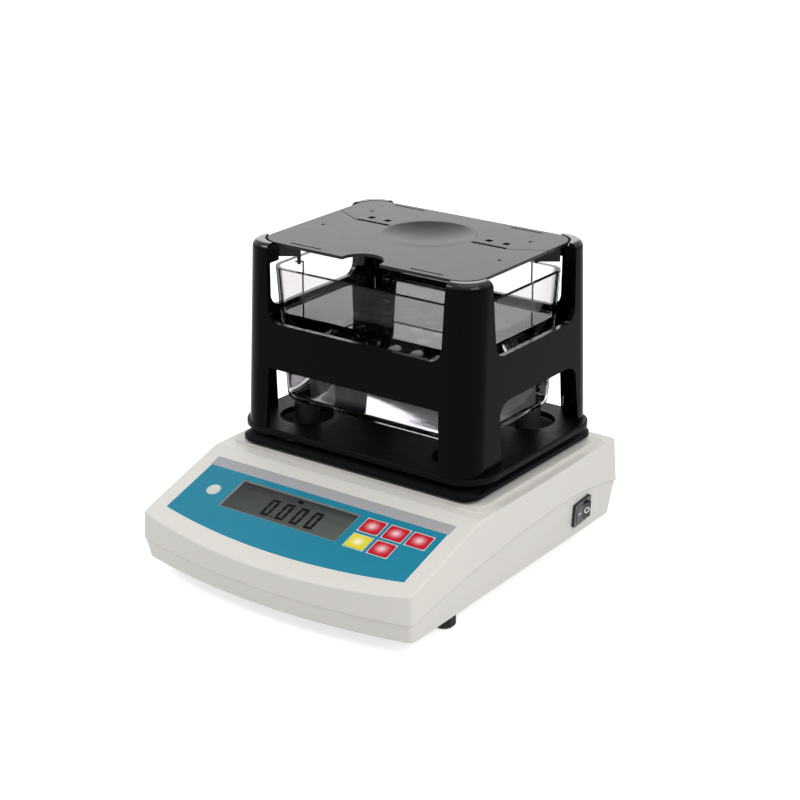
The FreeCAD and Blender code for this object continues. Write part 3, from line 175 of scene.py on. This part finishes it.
# ---- camera and light ----
CAMERA_PLACE = (0.6179, -0.8326, 0.4906)
CAMERA_AZIMUTH = 35.94
CAMERA_PITCH = 20.87
CAMERA_LENS = 87.98
CAMERA_SENSOR = 36.0
LAMP_TARGET = (0, 0, 0.08)
LAMPS = (
    # name, place, width, height, power
    ("top_box", (0.12, 0.12, 1.30), 0.9, 0.9, 3.2),
    ("rear_box", (-0.88, 1.24, 0.75), 1.2, 0.8, 4.4),
    ("left_box", (-0.75, -0.60, 0.95), 0.4, 0.4, 4.4),
    ("right_box", (1.00, -0.25, 0.90), 0.7, 0.7, 7.2),
)
WORLD_ON_SURFACES = 0.50
WORLD_SEEN = 1.0
FLOOR_HALF = 3.0
FLOOR_GLOW = 0.60


# ---- node helpers ----
class Shader:
    """A material under construction, with short names for the nodes that repeat."""

    def __init__(self, name):
        self.material = bpy.data.materials.new(name)
        self.material.use_nodes = True
        self.tree = self.material.node_tree
        self.bsdf = self.tree.nodes["Principled BSDF"]
        self.output = self.tree.nodes["Material Output"]

    def node(self, kind, **settings):
        made = self.tree.nodes.new(kind)
        for name, value in settings.items():
            setattr(made, name, value)
        return made

    def link(self, source, target):
        self.tree.links.new(source, target)

    def set(self, **values):
        for name, value in values.items():
            self.bsdf.inputs[name.replace("_", " ")].default_value = value
        return self

    def place(self):
        """Coordinates of the row frame, in metres."""
        return self.node("ShaderNodeTexCoord").outputs["Object"]

    def panel_place(self):
        """Coordinates on the key panel: X along the crease, Y up the slope."""
        mapping = self.node("ShaderNodeMapping", vector_type="TEXTURE")
        mapping.inputs["Location"].default_value = PANEL_ORIGIN
        mapping.inputs["Rotation"].default_value = (PANEL_SLOPE, 0, 0)
        self.link(self.place(), mapping.inputs["Vector"])
        return mapping.outputs["Vector"]

    def noise(self, size, detail=2.0, vector=None):
        texture = self.node("ShaderNodeTexNoise")
        texture.inputs["Scale"].default_value = 1.0 / size
        texture.inputs["Detail"].default_value = detail
        self.link(vector or self.place(), texture.inputs["Vector"])
        return texture.outputs["Fac"]

    def math(self, operation, first, second=None):
        made = self.node("ShaderNodeMath", operation=operation)
        for socket, value in zip(made.inputs, (first, second)):
            if value is None:
                continue
            if isinstance(value, (int, float)):
                socket.default_value = value
            else:
                self.link(value, socket)
        return made.outputs[0]

    def remap(self, value, low, high, to_low, to_high):
        made = self.node("ShaderNodeMapRange")
        limits = {"From Min": low, "From Max": high, "To Min": to_low, "To Max": to_high}
        for name, number in limits.items():
            made.inputs[name].default_value = number
        self.link(value, made.inputs["Value"])
        return made.outputs["Result"]

    def mix(self, share, first, second):
        made = self.node("ShaderNodeMix", data_type="RGBA")
        colours = (made.inputs[6], made.inputs[7])
        self.link(share, made.inputs[0])
        for socket, value in zip(colours, (first, second)):
            if isinstance(value, tuple):
                socket.default_value = (*value, 1.0)
            else:
                self.link(value, socket)
        return made.outputs[2]

    def colour(self, source):
        self.link(source, self.bsdf.inputs["Base Color"])

    def bump(self, height, distance):
        made = self.node("ShaderNodeBump")
        made.inputs["Distance"].default_value = distance
        made.inputs["Strength"].default_value = 1.0
        self.link(height, made.inputs["Height"])
        self.link(made.outputs["Normal"], self.bsdf.inputs["Normal"])


def shade(colour, factor):
    return tuple(channel * factor for channel in colour)


def separate(shader, vector):
    made = shader.node("ShaderNodeSeparateXYZ")
    shader.link(vector, made.inputs[0])
    return made.outputs


def moulded(name, colour, roughness, grain_size, grain_depth,
            blotch=0.05, specular=0.5, sheen=0.04):
    """Moulded plastic: fine spark-eroded grain, faint cloudiness, uneven sheen."""
    shader = Shader(name).set(Roughness=roughness, Specular_IOR_Level=specular)
    cloud = shader.noise(35 * MM, 3.0)
    shader.colour(shader.mix(cloud, shade(colour, 1 - blotch), shade(colour, 1 + blotch)))
    grain = shader.noise(grain_size, 3.0)
    uneven = shader.remap(shader.noise(6 * MM, 2.0), 0.3, 0.7,
                          roughness - sheen, roughness + sheen)
    shader.link(uneven, shader.bsdf.inputs["Roughness"])
    shader.bump(grain, grain_depth)
    return shader.material


def seam_mask(shader):
    """The shells' parting line: an arc each side of its crown, level across the front."""
    _, y, z = separate(shader, shader.place())
    run = shader.math("SUBTRACT", y, SEAM_CROWN[0])
    squared = shader.math("MULTIPLY", run, run)
    ahead = shader.math("LESS_THAN", run, 0.0)
    sags = []
    for radius in (SEAM_REAR_RADIUS, SEAM_FRONT_RADIUS):
        under_root = shader.math("MAXIMUM", shader.math("SUBTRACT", radius ** 2, squared), 0.0)
        sags.append(shader.math("SUBTRACT", radius, shader.math("SQRT", under_root)))
    rear_sag, front_sag = sags
    sag = shader.math("ADD", shader.math("MULTIPLY", ahead, front_sag),
                      shader.math("MULTIPLY", shader.math("SUBTRACT", 1.0, ahead), rear_sag))
    line = shader.math("MAXIMUM", shader.math("SUBTRACT", SEAM_CROWN[1], sag), SEAM_FRONT_Z)
    off = shader.math("ABSOLUTE", shader.math("SUBTRACT", z, line))
    return shader.math("LESS_THAN", off, SEAM_HALF_WIDTH)


def housing_plastic():
    """Pale textured plastic with the fine shadow of the parting line."""
    shader = Shader("housing_plastic").set(Roughness=0.55)
    cloud = shader.noise(35 * MM, 3.0)
    body = shader.mix(cloud, shade(HOUSING, 0.98), shade(HOUSING, 1.02))
    shader.colour(shader.mix(seam_mask(shader), body, shade(HOUSING, SEAM_SHADE)))
    shader.bump(shader.noise(0.55 * MM, 3.0), 0.03 * MM)
    return shader.material


def stand_plastic():
    """Satin black, glossier on its rounded upper edges."""
    shader = Shader("stand_black").set(Roughness=0.17, Specular_IOR_Level=0.03,
                                       Coat_Roughness=0.12)
    cloud = shader.noise(35 * MM, 3.0)
    shader.colour(shader.mix(cloud, shade(STAND_BLACK, 0.95), shade(STAND_BLACK, 1.05)))
    facing = shader.node("ShaderNodeNewGeometry").outputs["Normal"]
    upward = separate(shader, facing)[2]
    gloss = shader.remap(upward, *GLOSS_TURN, 0.0, GLOSS_COAT)
    shader.link(gloss, shader.bsdf.inputs["Coat Weight"])
    shader.bump(shader.noise(0.35 * MM, 3.0), 0.005 * MM)
    return shader.material


def metal(name, colour, roughness, stretch):
    """Metal with drawn or milled marks; the stretch is smallest along the marks."""
    shader = Shader(name).set(Metallic=1.0)
    mapping = shader.node("ShaderNodeMapping")
    mapping.inputs["Scale"].default_value = stretch
    shader.link(shader.place(), mapping.inputs["Vector"])
    marks = shader.noise(0.5 * MM, 2.0, mapping.outputs["Vector"])
    shader.colour(shader.mix(marks, shade(colour, 0.88), shade(colour, 1.08)))
    shader.link(shader.remap(marks, 0.3, 0.7, roughness - 0.06, roughness + 0.06),
                shader.bsdf.inputs["Roughness"])
    shader.bump(marks, 0.01 * MM)
    return shader.material


def paint(node, material):
    mesh = nodes[node].data
    mesh.materials.clear()
    mesh.materials.append(material)


# ---- printed panel, and the light and shade painted on it ----
def band_mask(shader, axis_value, low, high):
    """1 between two values along an axis, else 0."""
    above = shader.math("GREATER_THAN", axis_value, low)
    return shader.math("MULTIPLY", above, shader.math("LESS_THAN", axis_value, high))


def distance_from(shader, vector, point):
    made = shader.node("ShaderNodeVectorMath", operation="DISTANCE")
    shader.link(vector, made.inputs[0])
    made.inputs[1].default_value = point
    return made.outputs["Value"]


def key_frame_mask(shader, x, y, centre):
    """A thin printed frame round one key."""
    across = shader.math("ABSOLUTE", shader.math("SUBTRACT", x, centre[0] * MM))
    along = shader.math("ABSOLUTE", shader.math("ADD", y, OVERLAY_REAR + centre[1] * MM))
    inside_x = shader.math("LESS_THAN", across, KEY_HALF[0] + KEY_FRAME_LINE)
    inside_y = shader.math("LESS_THAN", along, KEY_HALF[1] + KEY_FRAME_LINE)
    return shader.math("MULTIPLY", inside_x, inside_y)


def display_frame_mask(shader, x, y):
    """A thin printed frame round the display's window."""
    across = band_mask(shader, x, DISPLAY_LEFT - DISPLAY_FRAME_LINE,
                       DISPLAY_RIGHT + DISPLAY_FRAME_LINE)
    along = band_mask(shader, y, -(OVERLAY_REAR + DISPLAY_FRONT + DISPLAY_FRAME_LINE),
                      DISPLAY_FRAME_LINE - OVERLAY_REAR - DISPLAY_REAR)
    return shader.math("MULTIPLY", across, along)


def overlay_film():
    """Teal film: grey band, painted highlight of its recess wall, printed frames round the keys and
    display.
    """
    shader = Shader("overlay_film").set(Roughness=0.42, Specular_IOR_Level=0.12)
    place = shader.panel_place()
    x, y, _ = separate(shader, place)
    cloud = shader.noise(20 * MM, 2.0)
    teal = shader.mix(cloud, shade(TEAL, 0.94), shade(TEAL, 1.06))
    on_band = shader.math("GREATER_THAN", y, -(OVERLAY_REAR + BAND_DEPTH))
    colour = shader.mix(on_band, teal, BAND_GREY)

    # Painted highlight: a pale line along the front and sides, for the lit wall of the recess.
    rise = OVERLAY_MIDDLE_DEPTH - OVERLAY_SIDE_DEPTH
    radius = (OVERLAY_HALF_WIDTH ** 2 + rise ** 2) / (2 * rise)
    centre_y = radius - OVERLAY_REAR - OVERLAY_MIDDLE_DEPTH
    reach = distance_from(shader, place, (0, centre_y, 0))
    front_highlight = shader.math("GREATER_THAN", reach, radius - RIM_LINE)
    side_highlight = shader.math("GREATER_THAN", shader.math("ABSOLUTE", x),
                            OVERLAY_HALF_WIDTH - RIM_LINE)
    below_band = shader.math("SUBTRACT", 1.0, on_band)
    line = shader.math("MULTIPLY", shader.math("MAXIMUM", front_highlight, side_highlight), below_band)
    colour = shader.mix(line, colour, HIGHLIGHT_AND_PRINT_WHITE)
    for centre in KEY_CENTRES.values():
        colour = shader.mix(key_frame_mask(shader, x, y, centre), colour,
                            shade(HIGHLIGHT_AND_PRINT_WHITE, KEY_FRAME_SHADE))
    colour = shader.mix(display_frame_mask(shader, x, y), colour, LCD_FRAME)
    shader.colour(colour)
    shader.bump(shader.noise(0.25 * MM, 2.0), 0.004 * MM)
    return shader.material


def key_film(name, edge, glow):
    """Key face that pales towards its middle."""
    shader = Shader(name).set(Roughness=0.38, Specular_IOR_Level=0.15)
    place = shader.panel_place()
    centre = KEY_CENTRES[name]
    mapping = shader.node("ShaderNodeMapping", vector_type="TEXTURE")
    mapping.inputs["Location"].default_value = (centre[0] * MM,
                                                -(OVERLAY_REAR + centre[1] * MM), 0)
    mapping.inputs["Scale"].default_value = (KEY_HALF[0], KEY_HALF[1], 1)
    shader.link(place, mapping.inputs["Vector"])
    x, y, _ = separate(shader, mapping.outputs["Vector"])
    squared = shader.math("ADD", shader.math("MULTIPLY", x, x), shader.math("MULTIPLY", y, y))
    share = shader.remap(shader.math("SQRT", squared), *KEY_GLOW_REACH, 1.0, 0.0)
    shader.colour(shader.mix(shader.math("MULTIPLY", share, share), edge, glow))
    shader.bump(shader.noise(0.3 * MM, 2.0), 0.004 * MM)
    return shader.material


def display_face():
    """Reflective display with painted light: darker at the rear left, with painted shade of its
    frame along the rear.
    """
    shader = Shader("display_face").set(Roughness=0.35, Specular_IOR_Level=0.3)
    x, y, _ = separate(shader, shader.panel_place())
    # painted light: lighter towards the right and the front
    across = shader.remap(x, DISPLAY_LEFT, DISPLAY_RIGHT, 0.0, DISPLAY_LIGHT_ACROSS)
    along = shader.remap(y, -(OVERLAY_REAR + DISPLAY_REAR), -(OVERLAY_REAR + DISPLAY_FRONT),
                         0.0, DISPLAY_LIGHT_ALONG)
    light = shader.math("ADD", across, along)
    body = shader.mix(light, LCD_DARK, LCD_LIGHT)
    rear_shade = shader.remap(y, -(OVERLAY_REAR + DISPLAY_REAR + DISPLAY_SHADE_DEPTH),
                              -(OVERLAY_REAR + DISPLAY_REAR), 0.0, DISPLAY_SHADE_SHARE)
    body = shader.mix(rear_shade, body, shade(LCD_DARK, LCD_SHADE))
    shader.colour(body)
    shader.bump(shader.noise(0.4 * MM, 1.0), 0.002 * MM)
    return shader.material


# ---- clear materials ----
def painted_corner_shade(shader, colour):
    """The colour with painted shade deepening above the water in the tank's round corners, which
    bend light most.
    """
    x, y, z = separate(shader, shader.place())
    flare = shader.remap(z, TANK_FOOT_Z, TANK_RIM_Z, 0.0, TANK_RIM[0] - TANK_FOOT[0])
    across = shader.math("SUBTRACT", shader.math("ABSOLUTE", x), flare)
    from_middle = shader.math("ABSOLUTE", shader.math("SUBTRACT", y, STAGE_Y))
    along = shader.math("SUBTRACT", from_middle, flare)
    side = shader.remap(across, TANK_FOOT[0] - TANK_CORNER, TANK_FOOT[0], 0.0, 1.0)
    end = shader.remap(along, TANK_FOOT[1] - TANK_CORNER, TANK_FOOT[1], 0.0, 1.0)
    share = shader.remap(shader.math("MULTIPLY", side, end), *CORNER_RAMP, 0.0, 1.0)
    above_water = shader.remap(z, WATER_LEVEL - CORNER_FADE, WATER_LEVEL, 0.0, 1.0)
    return shader.mix(shader.math("MULTIPLY", share, above_water), colour, PAINTED_CORNER_SHADE)


def clear(name, colour, roughness, ior, scratch=0.0, painted_shade_above=None):
    """Clear solid that lets lamp light through; painted shade above a height, if one is given."""
    shader = Shader(name).set(Base_Color=(*colour, 1.0), Roughness=roughness, IOR=ior,
                              Transmission_Weight=1.0)
    if scratch:
        shader.bump(shader.noise(9 * MM, 2.0), scratch)
    # Painted shade: above the height the colour is the dark that the bending of light gives that
    # edge.
    if painted_shade_above:
        height = separate(shader, shader.place())[2]
        in_painted_edge_shade = shader.math("GREATER_THAN", height, painted_shade_above)
        shader.colour(shader.mix(in_painted_edge_shade, painted_corner_shade(shader, colour), PAINTED_EDGE_SHADE))
    path = shader.node("ShaderNodeLightPath")
    passing = shader.node("ShaderNodeBsdfTransparent")
    passing.inputs["Color"].default_value = (*[0.94 + 0.04 * c for c in colour], 1.0)
    either = shader.math("MAXIMUM", path.outputs["Is Shadow Ray"], path.outputs["Is Diffuse Ray"])
    mixer = shader.node("ShaderNodeMixShader")
    shader.link(either, mixer.inputs[0])
    shader.link(shader.bsdf.outputs[0], mixer.inputs[1])
    shader.link(passing.outputs[0], mixer.inputs[2])
    shader.link(mixer.outputs[0], shader.output.inputs["Surface"])
    return shader.material


# ---- materials on the CAD nodes ----
def paint_nodes():
    housing = housing_plastic()
    stand = stand_plastic()
    deck = moulded("deck_black", DECK_BLACK, roughness=0.34, grain_size=0.4 * MM,
                   grain_depth=0.008 * MM, specular=0.18, sheen=0.01)
    textured = moulded("textured_black", TEXTURED_BLACK, roughness=0.40, grain_size=0.45 * MM,
                       grain_depth=0.03 * MM, specular=0.05)
    switch = moulded("switch_plastic", SWITCH_BLACK, roughness=0.30, grain_size=0.3 * MM,
                     grain_depth=0.006 * MM, specular=0.4)
    rubber = moulded("foot_rubber", RUBBER_BLACK, roughness=0.60, grain_size=0.5 * MM,
                     grain_depth=0.02 * MM, specular=0.25)
    board = moulded("solder_mask", BOARD_GREEN, roughness=0.30, grain_size=2.0 * MM,
                    grain_depth=0.01 * MM)
    part = moulded("component_plastic", TEXTURED_BLACK, roughness=0.45, grain_size=0.3 * MM,
                   grain_depth=0.01 * MM)
    vial = moulded("vial_white", VIAL_WHITE, roughness=0.25, grain_size=1.0 * MM,
                   grain_depth=0.002 * MM, blotch=0.02)
    steel = metal("plain_steel", STEEL, roughness=0.30, stretch=(0.1, 1.0, 1.0))
    # painted shade: the pan's steel is darkened
    pan = metal("shaded_pan_steel", SHADED_PAN_STEEL, roughness=0.22, stretch=(0.1, 1.0, 1.0))
    milled = metal("milled_aluminium", ALUMINIUM, roughness=0.34, stretch=(0.1, 1.0, 1.0))
    wire = metal("drawn_wire", WIRE_DARK, roughness=0.18, stretch=(1.0, 1.0, 0.1))
    feet = [name for name in nodes if name.startswith("foot_") and "stud" not in name]
    fasteners = [name for name in nodes if "screws" in name or "stud" in name]
    by_material = {
        housing: ["upper_housing", "lower_housing"],
        stand: ["stand_frame"],
        deck: ["front_deck", "rear_deck"],
        textured: ["support_slab", "weighing_tray"],
        switch: ["switch_bezel", "rocker", "dc_inlet"],
        rubber: ["tank_posts"] + feet,
        board: ["key_board", "main_board"],
        part: ["key_switches", "board_components"],
        pan: ["basket"],
        steel: ["base_plate"] + fasteners,
        milled: ["cell_spacer_lower", "cell_spacer_upper", "load_cell", "stage_hub"],
        wire: ["basket_wires"],
        vial: ["level_vial"],
    }
    for material, names in by_material.items():
        for name in names:
            paint(name, material)
    paint("fascia_overlay", overlay_film())
    paint("lcd_module", display_face())
    paint("lcd_lens", clear("display_window", WINDOW_TINT, roughness=0.05, ior=1.05))
    for name in KEY_CENTRES:
        yellow = name == "key_enter"
        paint(name, key_film(name, KEY_YELLOW if yellow else KEY_RED,
                             KEY_GLOW_YELLOW if yellow else KEY_GLOW))
    # painted shade along the top of the rim and in the round corners
    paint("water_tank", clear("tank_plastic", TANK_TINT, roughness=0.02, ior=TANK_IOR,
                              scratch=0.01 * MM, painted_shade_above=TANK_RIM_Z - RIM_EDGE))


# ---- pieces that the frame doesn't have ----
def add_piece(name, mesh, material, body):
    piece = bpy.data.objects.new(name, mesh)
    bpy.context.scene.collection.objects.link(piece)
    piece.data.materials.append(material)
    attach(piece, body)
    return piece


def prism(bm, outline, low, high):
    """Closed prism over a convex outline given counter-clockwise in X and Y."""
    bottom = [bm.verts.new((x, y, low)) for x, y in outline]
    top = [bm.verts.new((x, y, high)) for x, y in outline]
    bm.faces.new(list(reversed(bottom)))
    bm.faces.new(top)
    for index in range(len(outline)):
        following = (index + 1) % len(outline)
        bm.faces.new((bottom[index], bottom[following], top[following], top[index]))


def segment(left, bottom, right, top):
    """Outline of a display segment: a bar with its four corners cut."""
    cut = SEGMENT_CUT
    return [(left + cut, bottom), (right - cut, bottom), (right, bottom + cut), (right, top - cut),
            (right - cut, top), (left + cut, top), (left, top - cut), (left, bottom + cut)]


def digit_outlines(left):
    """The six outer segments of a nought: bars along its ends, two bars up each side."""
    right = left + DIGIT_WIDTH
    top = -(OVERLAY_REAR + DIGIT_REAR)
    bottom = top - DIGIT_HEIGHT
    middle = (top + bottom) / 2
    inner_bottom = bottom + SEGMENT_WIDTH
    inner_top = top - SEGMENT_WIDTH
    outlines = [segment(left, bottom, right, inner_bottom), segment(left, inner_top, right, top)]
    for side in (left, right - SEGMENT_WIDTH):
        other = side + SEGMENT_WIDTH
        outlines.append(segment(side, inner_bottom + SEGMENT_GAP, other, middle - SEGMENT_GAP))
        outlines.append(segment(side, middle + SEGMENT_GAP, other, inner_top - SEGMENT_GAP))
    return outlines


def square(x, y, half_x, half_y):
    return [(x - half_x, y - half_y), (x + half_x, y - half_y),
            (x + half_x, y + half_y), (x - half_x, y + half_y)]


def display_digits():
    """The reading 0.000 and the small stability mark over it, just above the display's face."""
    bm = bmesh.new()
    low = -DISPLAY_DROP + INK_LIFT
    high = low + INK_THICKNESS
    for left in DIGIT_LEFT:
        for outline in digit_outlines(left * MM):
            prism(bm, outline, low, high)
    point_y = -(OVERLAY_REAR + DIGIT_REAR + DIGIT_HEIGHT) + POINT_HALF
    prism(bm, square(POINT_X, point_y, POINT_HALF, POINT_HALF), low, high)
    badge_x, badge_depth = BADGE_PLACE
    prism(bm, square(badge_x, -(OVERLAY_REAR + badge_depth), *BADGE_HALF), low, high)
    bm.transform(PANEL_MATRIX)
    mesh = bpy.data.meshes.new("display_digits")
    bm.to_mesh(mesh)
    bm.free()
    ink = moulded("display_ink", LCD_SEGMENT, roughness=0.5, grain_size=1.0 * MM,
                  grain_depth=0.001 * MM, specular=0.05)
    add_piece("display_digits", mesh, ink, "base")


def mark_frame(side):
    """Frame on one flat of the rocker: X along the flat away from its ridge, Z out of it."""
    tilt = -ROCKER_ANGLE - side * ROCKER_ANGLE
    turned = Matrix.Rotation(tilt, 3, "Z")
    ridge = Matrix.Rotation(-ROCKER_ANGLE, 3, "Z") @ Vector((ROCKER_FACE, 0, 0))
    outward = turned @ Vector((1, 0, 0))
    along = turned @ Vector((0, side, 0))
    local = Matrix((along, outward.cross(along), outward)).transposed()
    place = (ROCKER_FRAME @ local).to_4x4()
    place.translation = ROCKER_PIVOT + ROCKER_FRAME @ ridge
    return place


def rocker_marks():
    """The stroke for on and the ring for off."""
    bm = bmesh.new()
    prism(bm, square(MARK_REACH, 0, STROKE_LENGTH / 2, STROKE_WIDTH / 2), -MARK_HEIGHT, MARK_HEIGHT)
    bm.transform(mark_frame(-1))
    stroke = list(bm.verts)
    angles = [2 * math.pi * step / RING_SIDES for step in range(RING_SIDES)]
    rings = []
    for radius in (RING_RADIUS - STROKE_WIDTH / 2, RING_RADIUS + STROKE_WIDTH / 2):
        for height in (-MARK_HEIGHT, MARK_HEIGHT):
            rings.append([bm.verts.new((MARK_REACH + radius * math.cos(angle),
                                        radius * math.sin(angle), height)) for angle in angles])
    inner_low, inner_high, outer_low, outer_high = rings
    for first, second in ((outer_low, outer_high), (outer_high, inner_high),
                          (inner_high, inner_low), (inner_low, outer_low)):
        for index in range(RING_SIDES):
            following = (index + 1) % RING_SIDES
            bm.faces.new((first[index], first[following], second[following], second[index]))
    ring = [vert for vert in bm.verts if vert not in stroke]
    bmesh.ops.transform(bm, matrix=mark_frame(1), verts=ring)
    mesh = bpy.data.meshes.new("rocker_marks")
    bm.to_mesh(mesh)
    bm.free()
    ink = moulded("mark_ink", MARK_WHITE, roughness=0.5, grain_size=0.5 * MM,
                  grain_depth=0.001 * MM, blotch=0.02)
    add_piece("rocker_marks", mesh, ink, "switch_rocker")


def rounded_ring(half_x, half_y, radius):
    """Points of a rectangle with round corners, counter-clockwise round the stage's centre."""
    points = []
    for sign_x, sign_y, start in ((1, 1, 0), (-1, 1, 90), (-1, -1, 180), (1, -1, 270)):
        for step in range(CORNER_STEPS + 1):
            angle = math.radians(start + 90 * step / CORNER_STEPS)
            points.append((sign_x * (half_x - radius) + radius * math.cos(angle),
                           STAGE_Y + sign_y * (half_y - radius) + radius * math.sin(angle)))
    return points


def water_half(z):
    """Half sizes of the water's outline at a height: the tank's inside, a hair into its wall."""
    share = (z - TANK_FOOT_Z) / (TANK_RIM_Z - TANK_FOOT_Z)
    inset = TANK_WALL - WATER_INTO_WALL
    return tuple(foot + (rim - foot) * share - inset for foot, rim in zip(TANK_FOOT, TANK_RIM))


def water_rings():
    """Outlines from the round foot up to the surface, then in over the meniscus."""
    floor_z = TANK_FOOT_Z + TANK_FLOOR - WATER_INTO_WALL
    foot_radius = TANK_FOOT_RADIUS - TANK_WALL
    corner = TANK_CORNER - TANK_WALL
    rings = []
    for step in range(CORNER_STEPS + 1):
        angle = math.radians(90 * step / CORNER_STEPS)
        inset = foot_radius * (1 - math.sin(angle))
        z = floor_z + foot_radius * (1 - math.cos(angle))
        half_x, half_y = water_half(z)
        rings.append((half_x - inset, half_y - inset, max(corner - inset, WATER_LEAST_CORNER), z))
    half_x, half_y = water_half(WATER_LEVEL + MENISCUS_RISE)
    rings.append((half_x, half_y, corner, WATER_LEVEL + MENISCUS_RISE))
    for step in range(1, MENISCUS_STEPS + 1):
        share = step / MENISCUS_STEPS
        inset = MENISCUS_REACH * share
        z = WATER_LEVEL + MENISCUS_RISE * (1 - share) ** 2
        rings.append((half_x - inset, half_y - inset, corner, z))
    return rings


def tank_water():
    """The water, closed at its foot and surface, that rides with the tank."""
    bm = bmesh.new()
    loops = []
    for half_x, half_y, corner, z in water_rings():
        loops.append([bm.verts.new((x, y, z)) for x, y in rounded_ring(half_x, half_y, corner)])
    bm.faces.new(list(reversed(loops[0])))
    for low, high in zip(loops, loops[1:]):
        for index in range(len(low)):
            following = (index + 1) % len(low)
            bm.faces.new((low[index], low[following], high[following], high[index]))
    bm.faces.new(loops[-1])
    mesh = bpy.data.meshes.new("tank_water")
    bm.to_mesh(mesh)
    bm.free()
    for polygon in mesh.polygons:
        polygon.use_smooth = len(polygon.vertices) == 4
    # painted shade along the meniscus for the dark waterline, and in the corners near the surface
    water = clear("water", WATER_TINT, roughness=0.0, ior=WATER_IOR,
                  painted_shade_above=WATER_LEVEL + MENISCUS_EDGE)
    add_piece("tank_water", mesh, water, "tank")


# ---- room ----
def white_world():
    """White all round: full where it is seen, less where it only lights surfaces."""
    world = bpy.data.worlds.new("studio")
    bpy.context.scene.world = world
    world.use_nodes = True
    tree = world.node_tree
    background = tree.nodes["Background"]
    background.inputs["Color"].default_value = (1, 1, 1, 1)
    path = tree.nodes.new("ShaderNodeLightPath")
    seen = tree.nodes.new("ShaderNodeMath")
    seen.operation = "MAXIMUM"
    tree.links.new(path.outputs["Is Camera Ray"], seen.inputs[0])
    tree.links.new(path.outputs["Is Transmission Ray"], seen.inputs[1])
    either = tree.nodes.new("ShaderNodeMath")
    either.operation = "MAXIMUM"
    tree.links.new(seen.outputs[0], either.inputs[0])
    tree.links.new(path.outputs["Is Glossy Ray"], either.inputs[1])
    strength = tree.nodes.new("ShaderNodeMapRange")
    strength.inputs["To Min"].default_value = WORLD_ON_SURFACES
    strength.inputs["To Max"].default_value = WORLD_SEEN
    tree.links.new(either.outputs[0], strength.inputs["Value"])
    tree.links.new(strength.outputs["Result"], background.inputs["Strength"])


def floor():
    """White paper floor that glows only where it is seen, mirrored or looked at through glass."""
    mesh = bpy.data.meshes.new("floor")
    corners = [(x, y, 0) for x, y in square(0, 0, FLOOR_HALF, FLOOR_HALF)]
    mesh.from_pydata(corners, [], [(0, 1, 2, 3)])
    plane = bpy.data.objects.new("floor", mesh)
    bpy.context.scene.collection.objects.link(plane)
    shader = Shader("floor_paper").set(Roughness=0.9)
    shader.colour(shader.mix(shader.noise(300 * MM, 2.0), *FLOOR_PAPER))
    path = shader.node("ShaderNodeLightPath")
    indirect = shader.math("MAXIMUM", path.outputs["Is Glossy Ray"],
                           path.outputs["Is Transmission Ray"])
    seen = shader.math("MAXIMUM", path.outputs["Is Camera Ray"], indirect)
    shader.bsdf.inputs["Emission Color"].default_value = (1, 1, 1, 1)
    shader.link(shader.math("MULTIPLY", seen, FLOOR_GLOW), shader.bsdf.inputs["Emission Strength"])
    plane.data.materials.append(shader.material)


def lamps():
    """Soft boxes, all turned to the meter's middle."""
    for name, place, width, height, power in LAMPS:
        data = bpy.data.lights.new(name, "AREA")
        data.shape = "RECTANGLE"
        data.size = width
        data.size_y = height
        data.energy = power
        light = bpy.data.objects.new(name, data)
        light.location = place
        direction = Vector(LAMP_TARGET) - Vector(place)
        light.rotation_euler = direction.to_track_quat("-Z", "Y").to_euler()
        bpy.context.scene.collection.objects.link(light)


def camera():
    """The photo's view, fitted to the object's straight edges."""
    data = bpy.data.cameras.new("camera")
    data.sensor_width = CAMERA_SENSOR
    data.lens = CAMERA_LENS
    eye = bpy.data.objects.new("camera", data)
    eye.location = CAMERA_PLACE
    eye.rotation_euler = (math.radians(90 - CAMERA_PITCH), 0, math.radians(CAMERA_AZIMUTH))
    bpy.context.scene.collection.objects.link(eye)
    bpy.context.scene.camera = eye


paint_nodes()
display_digits()
rocker_marks()
tank_water()
white_world()
floor()
lamps()
camera()
bpy.context.scene.view_settings.view_transform = "Standard"
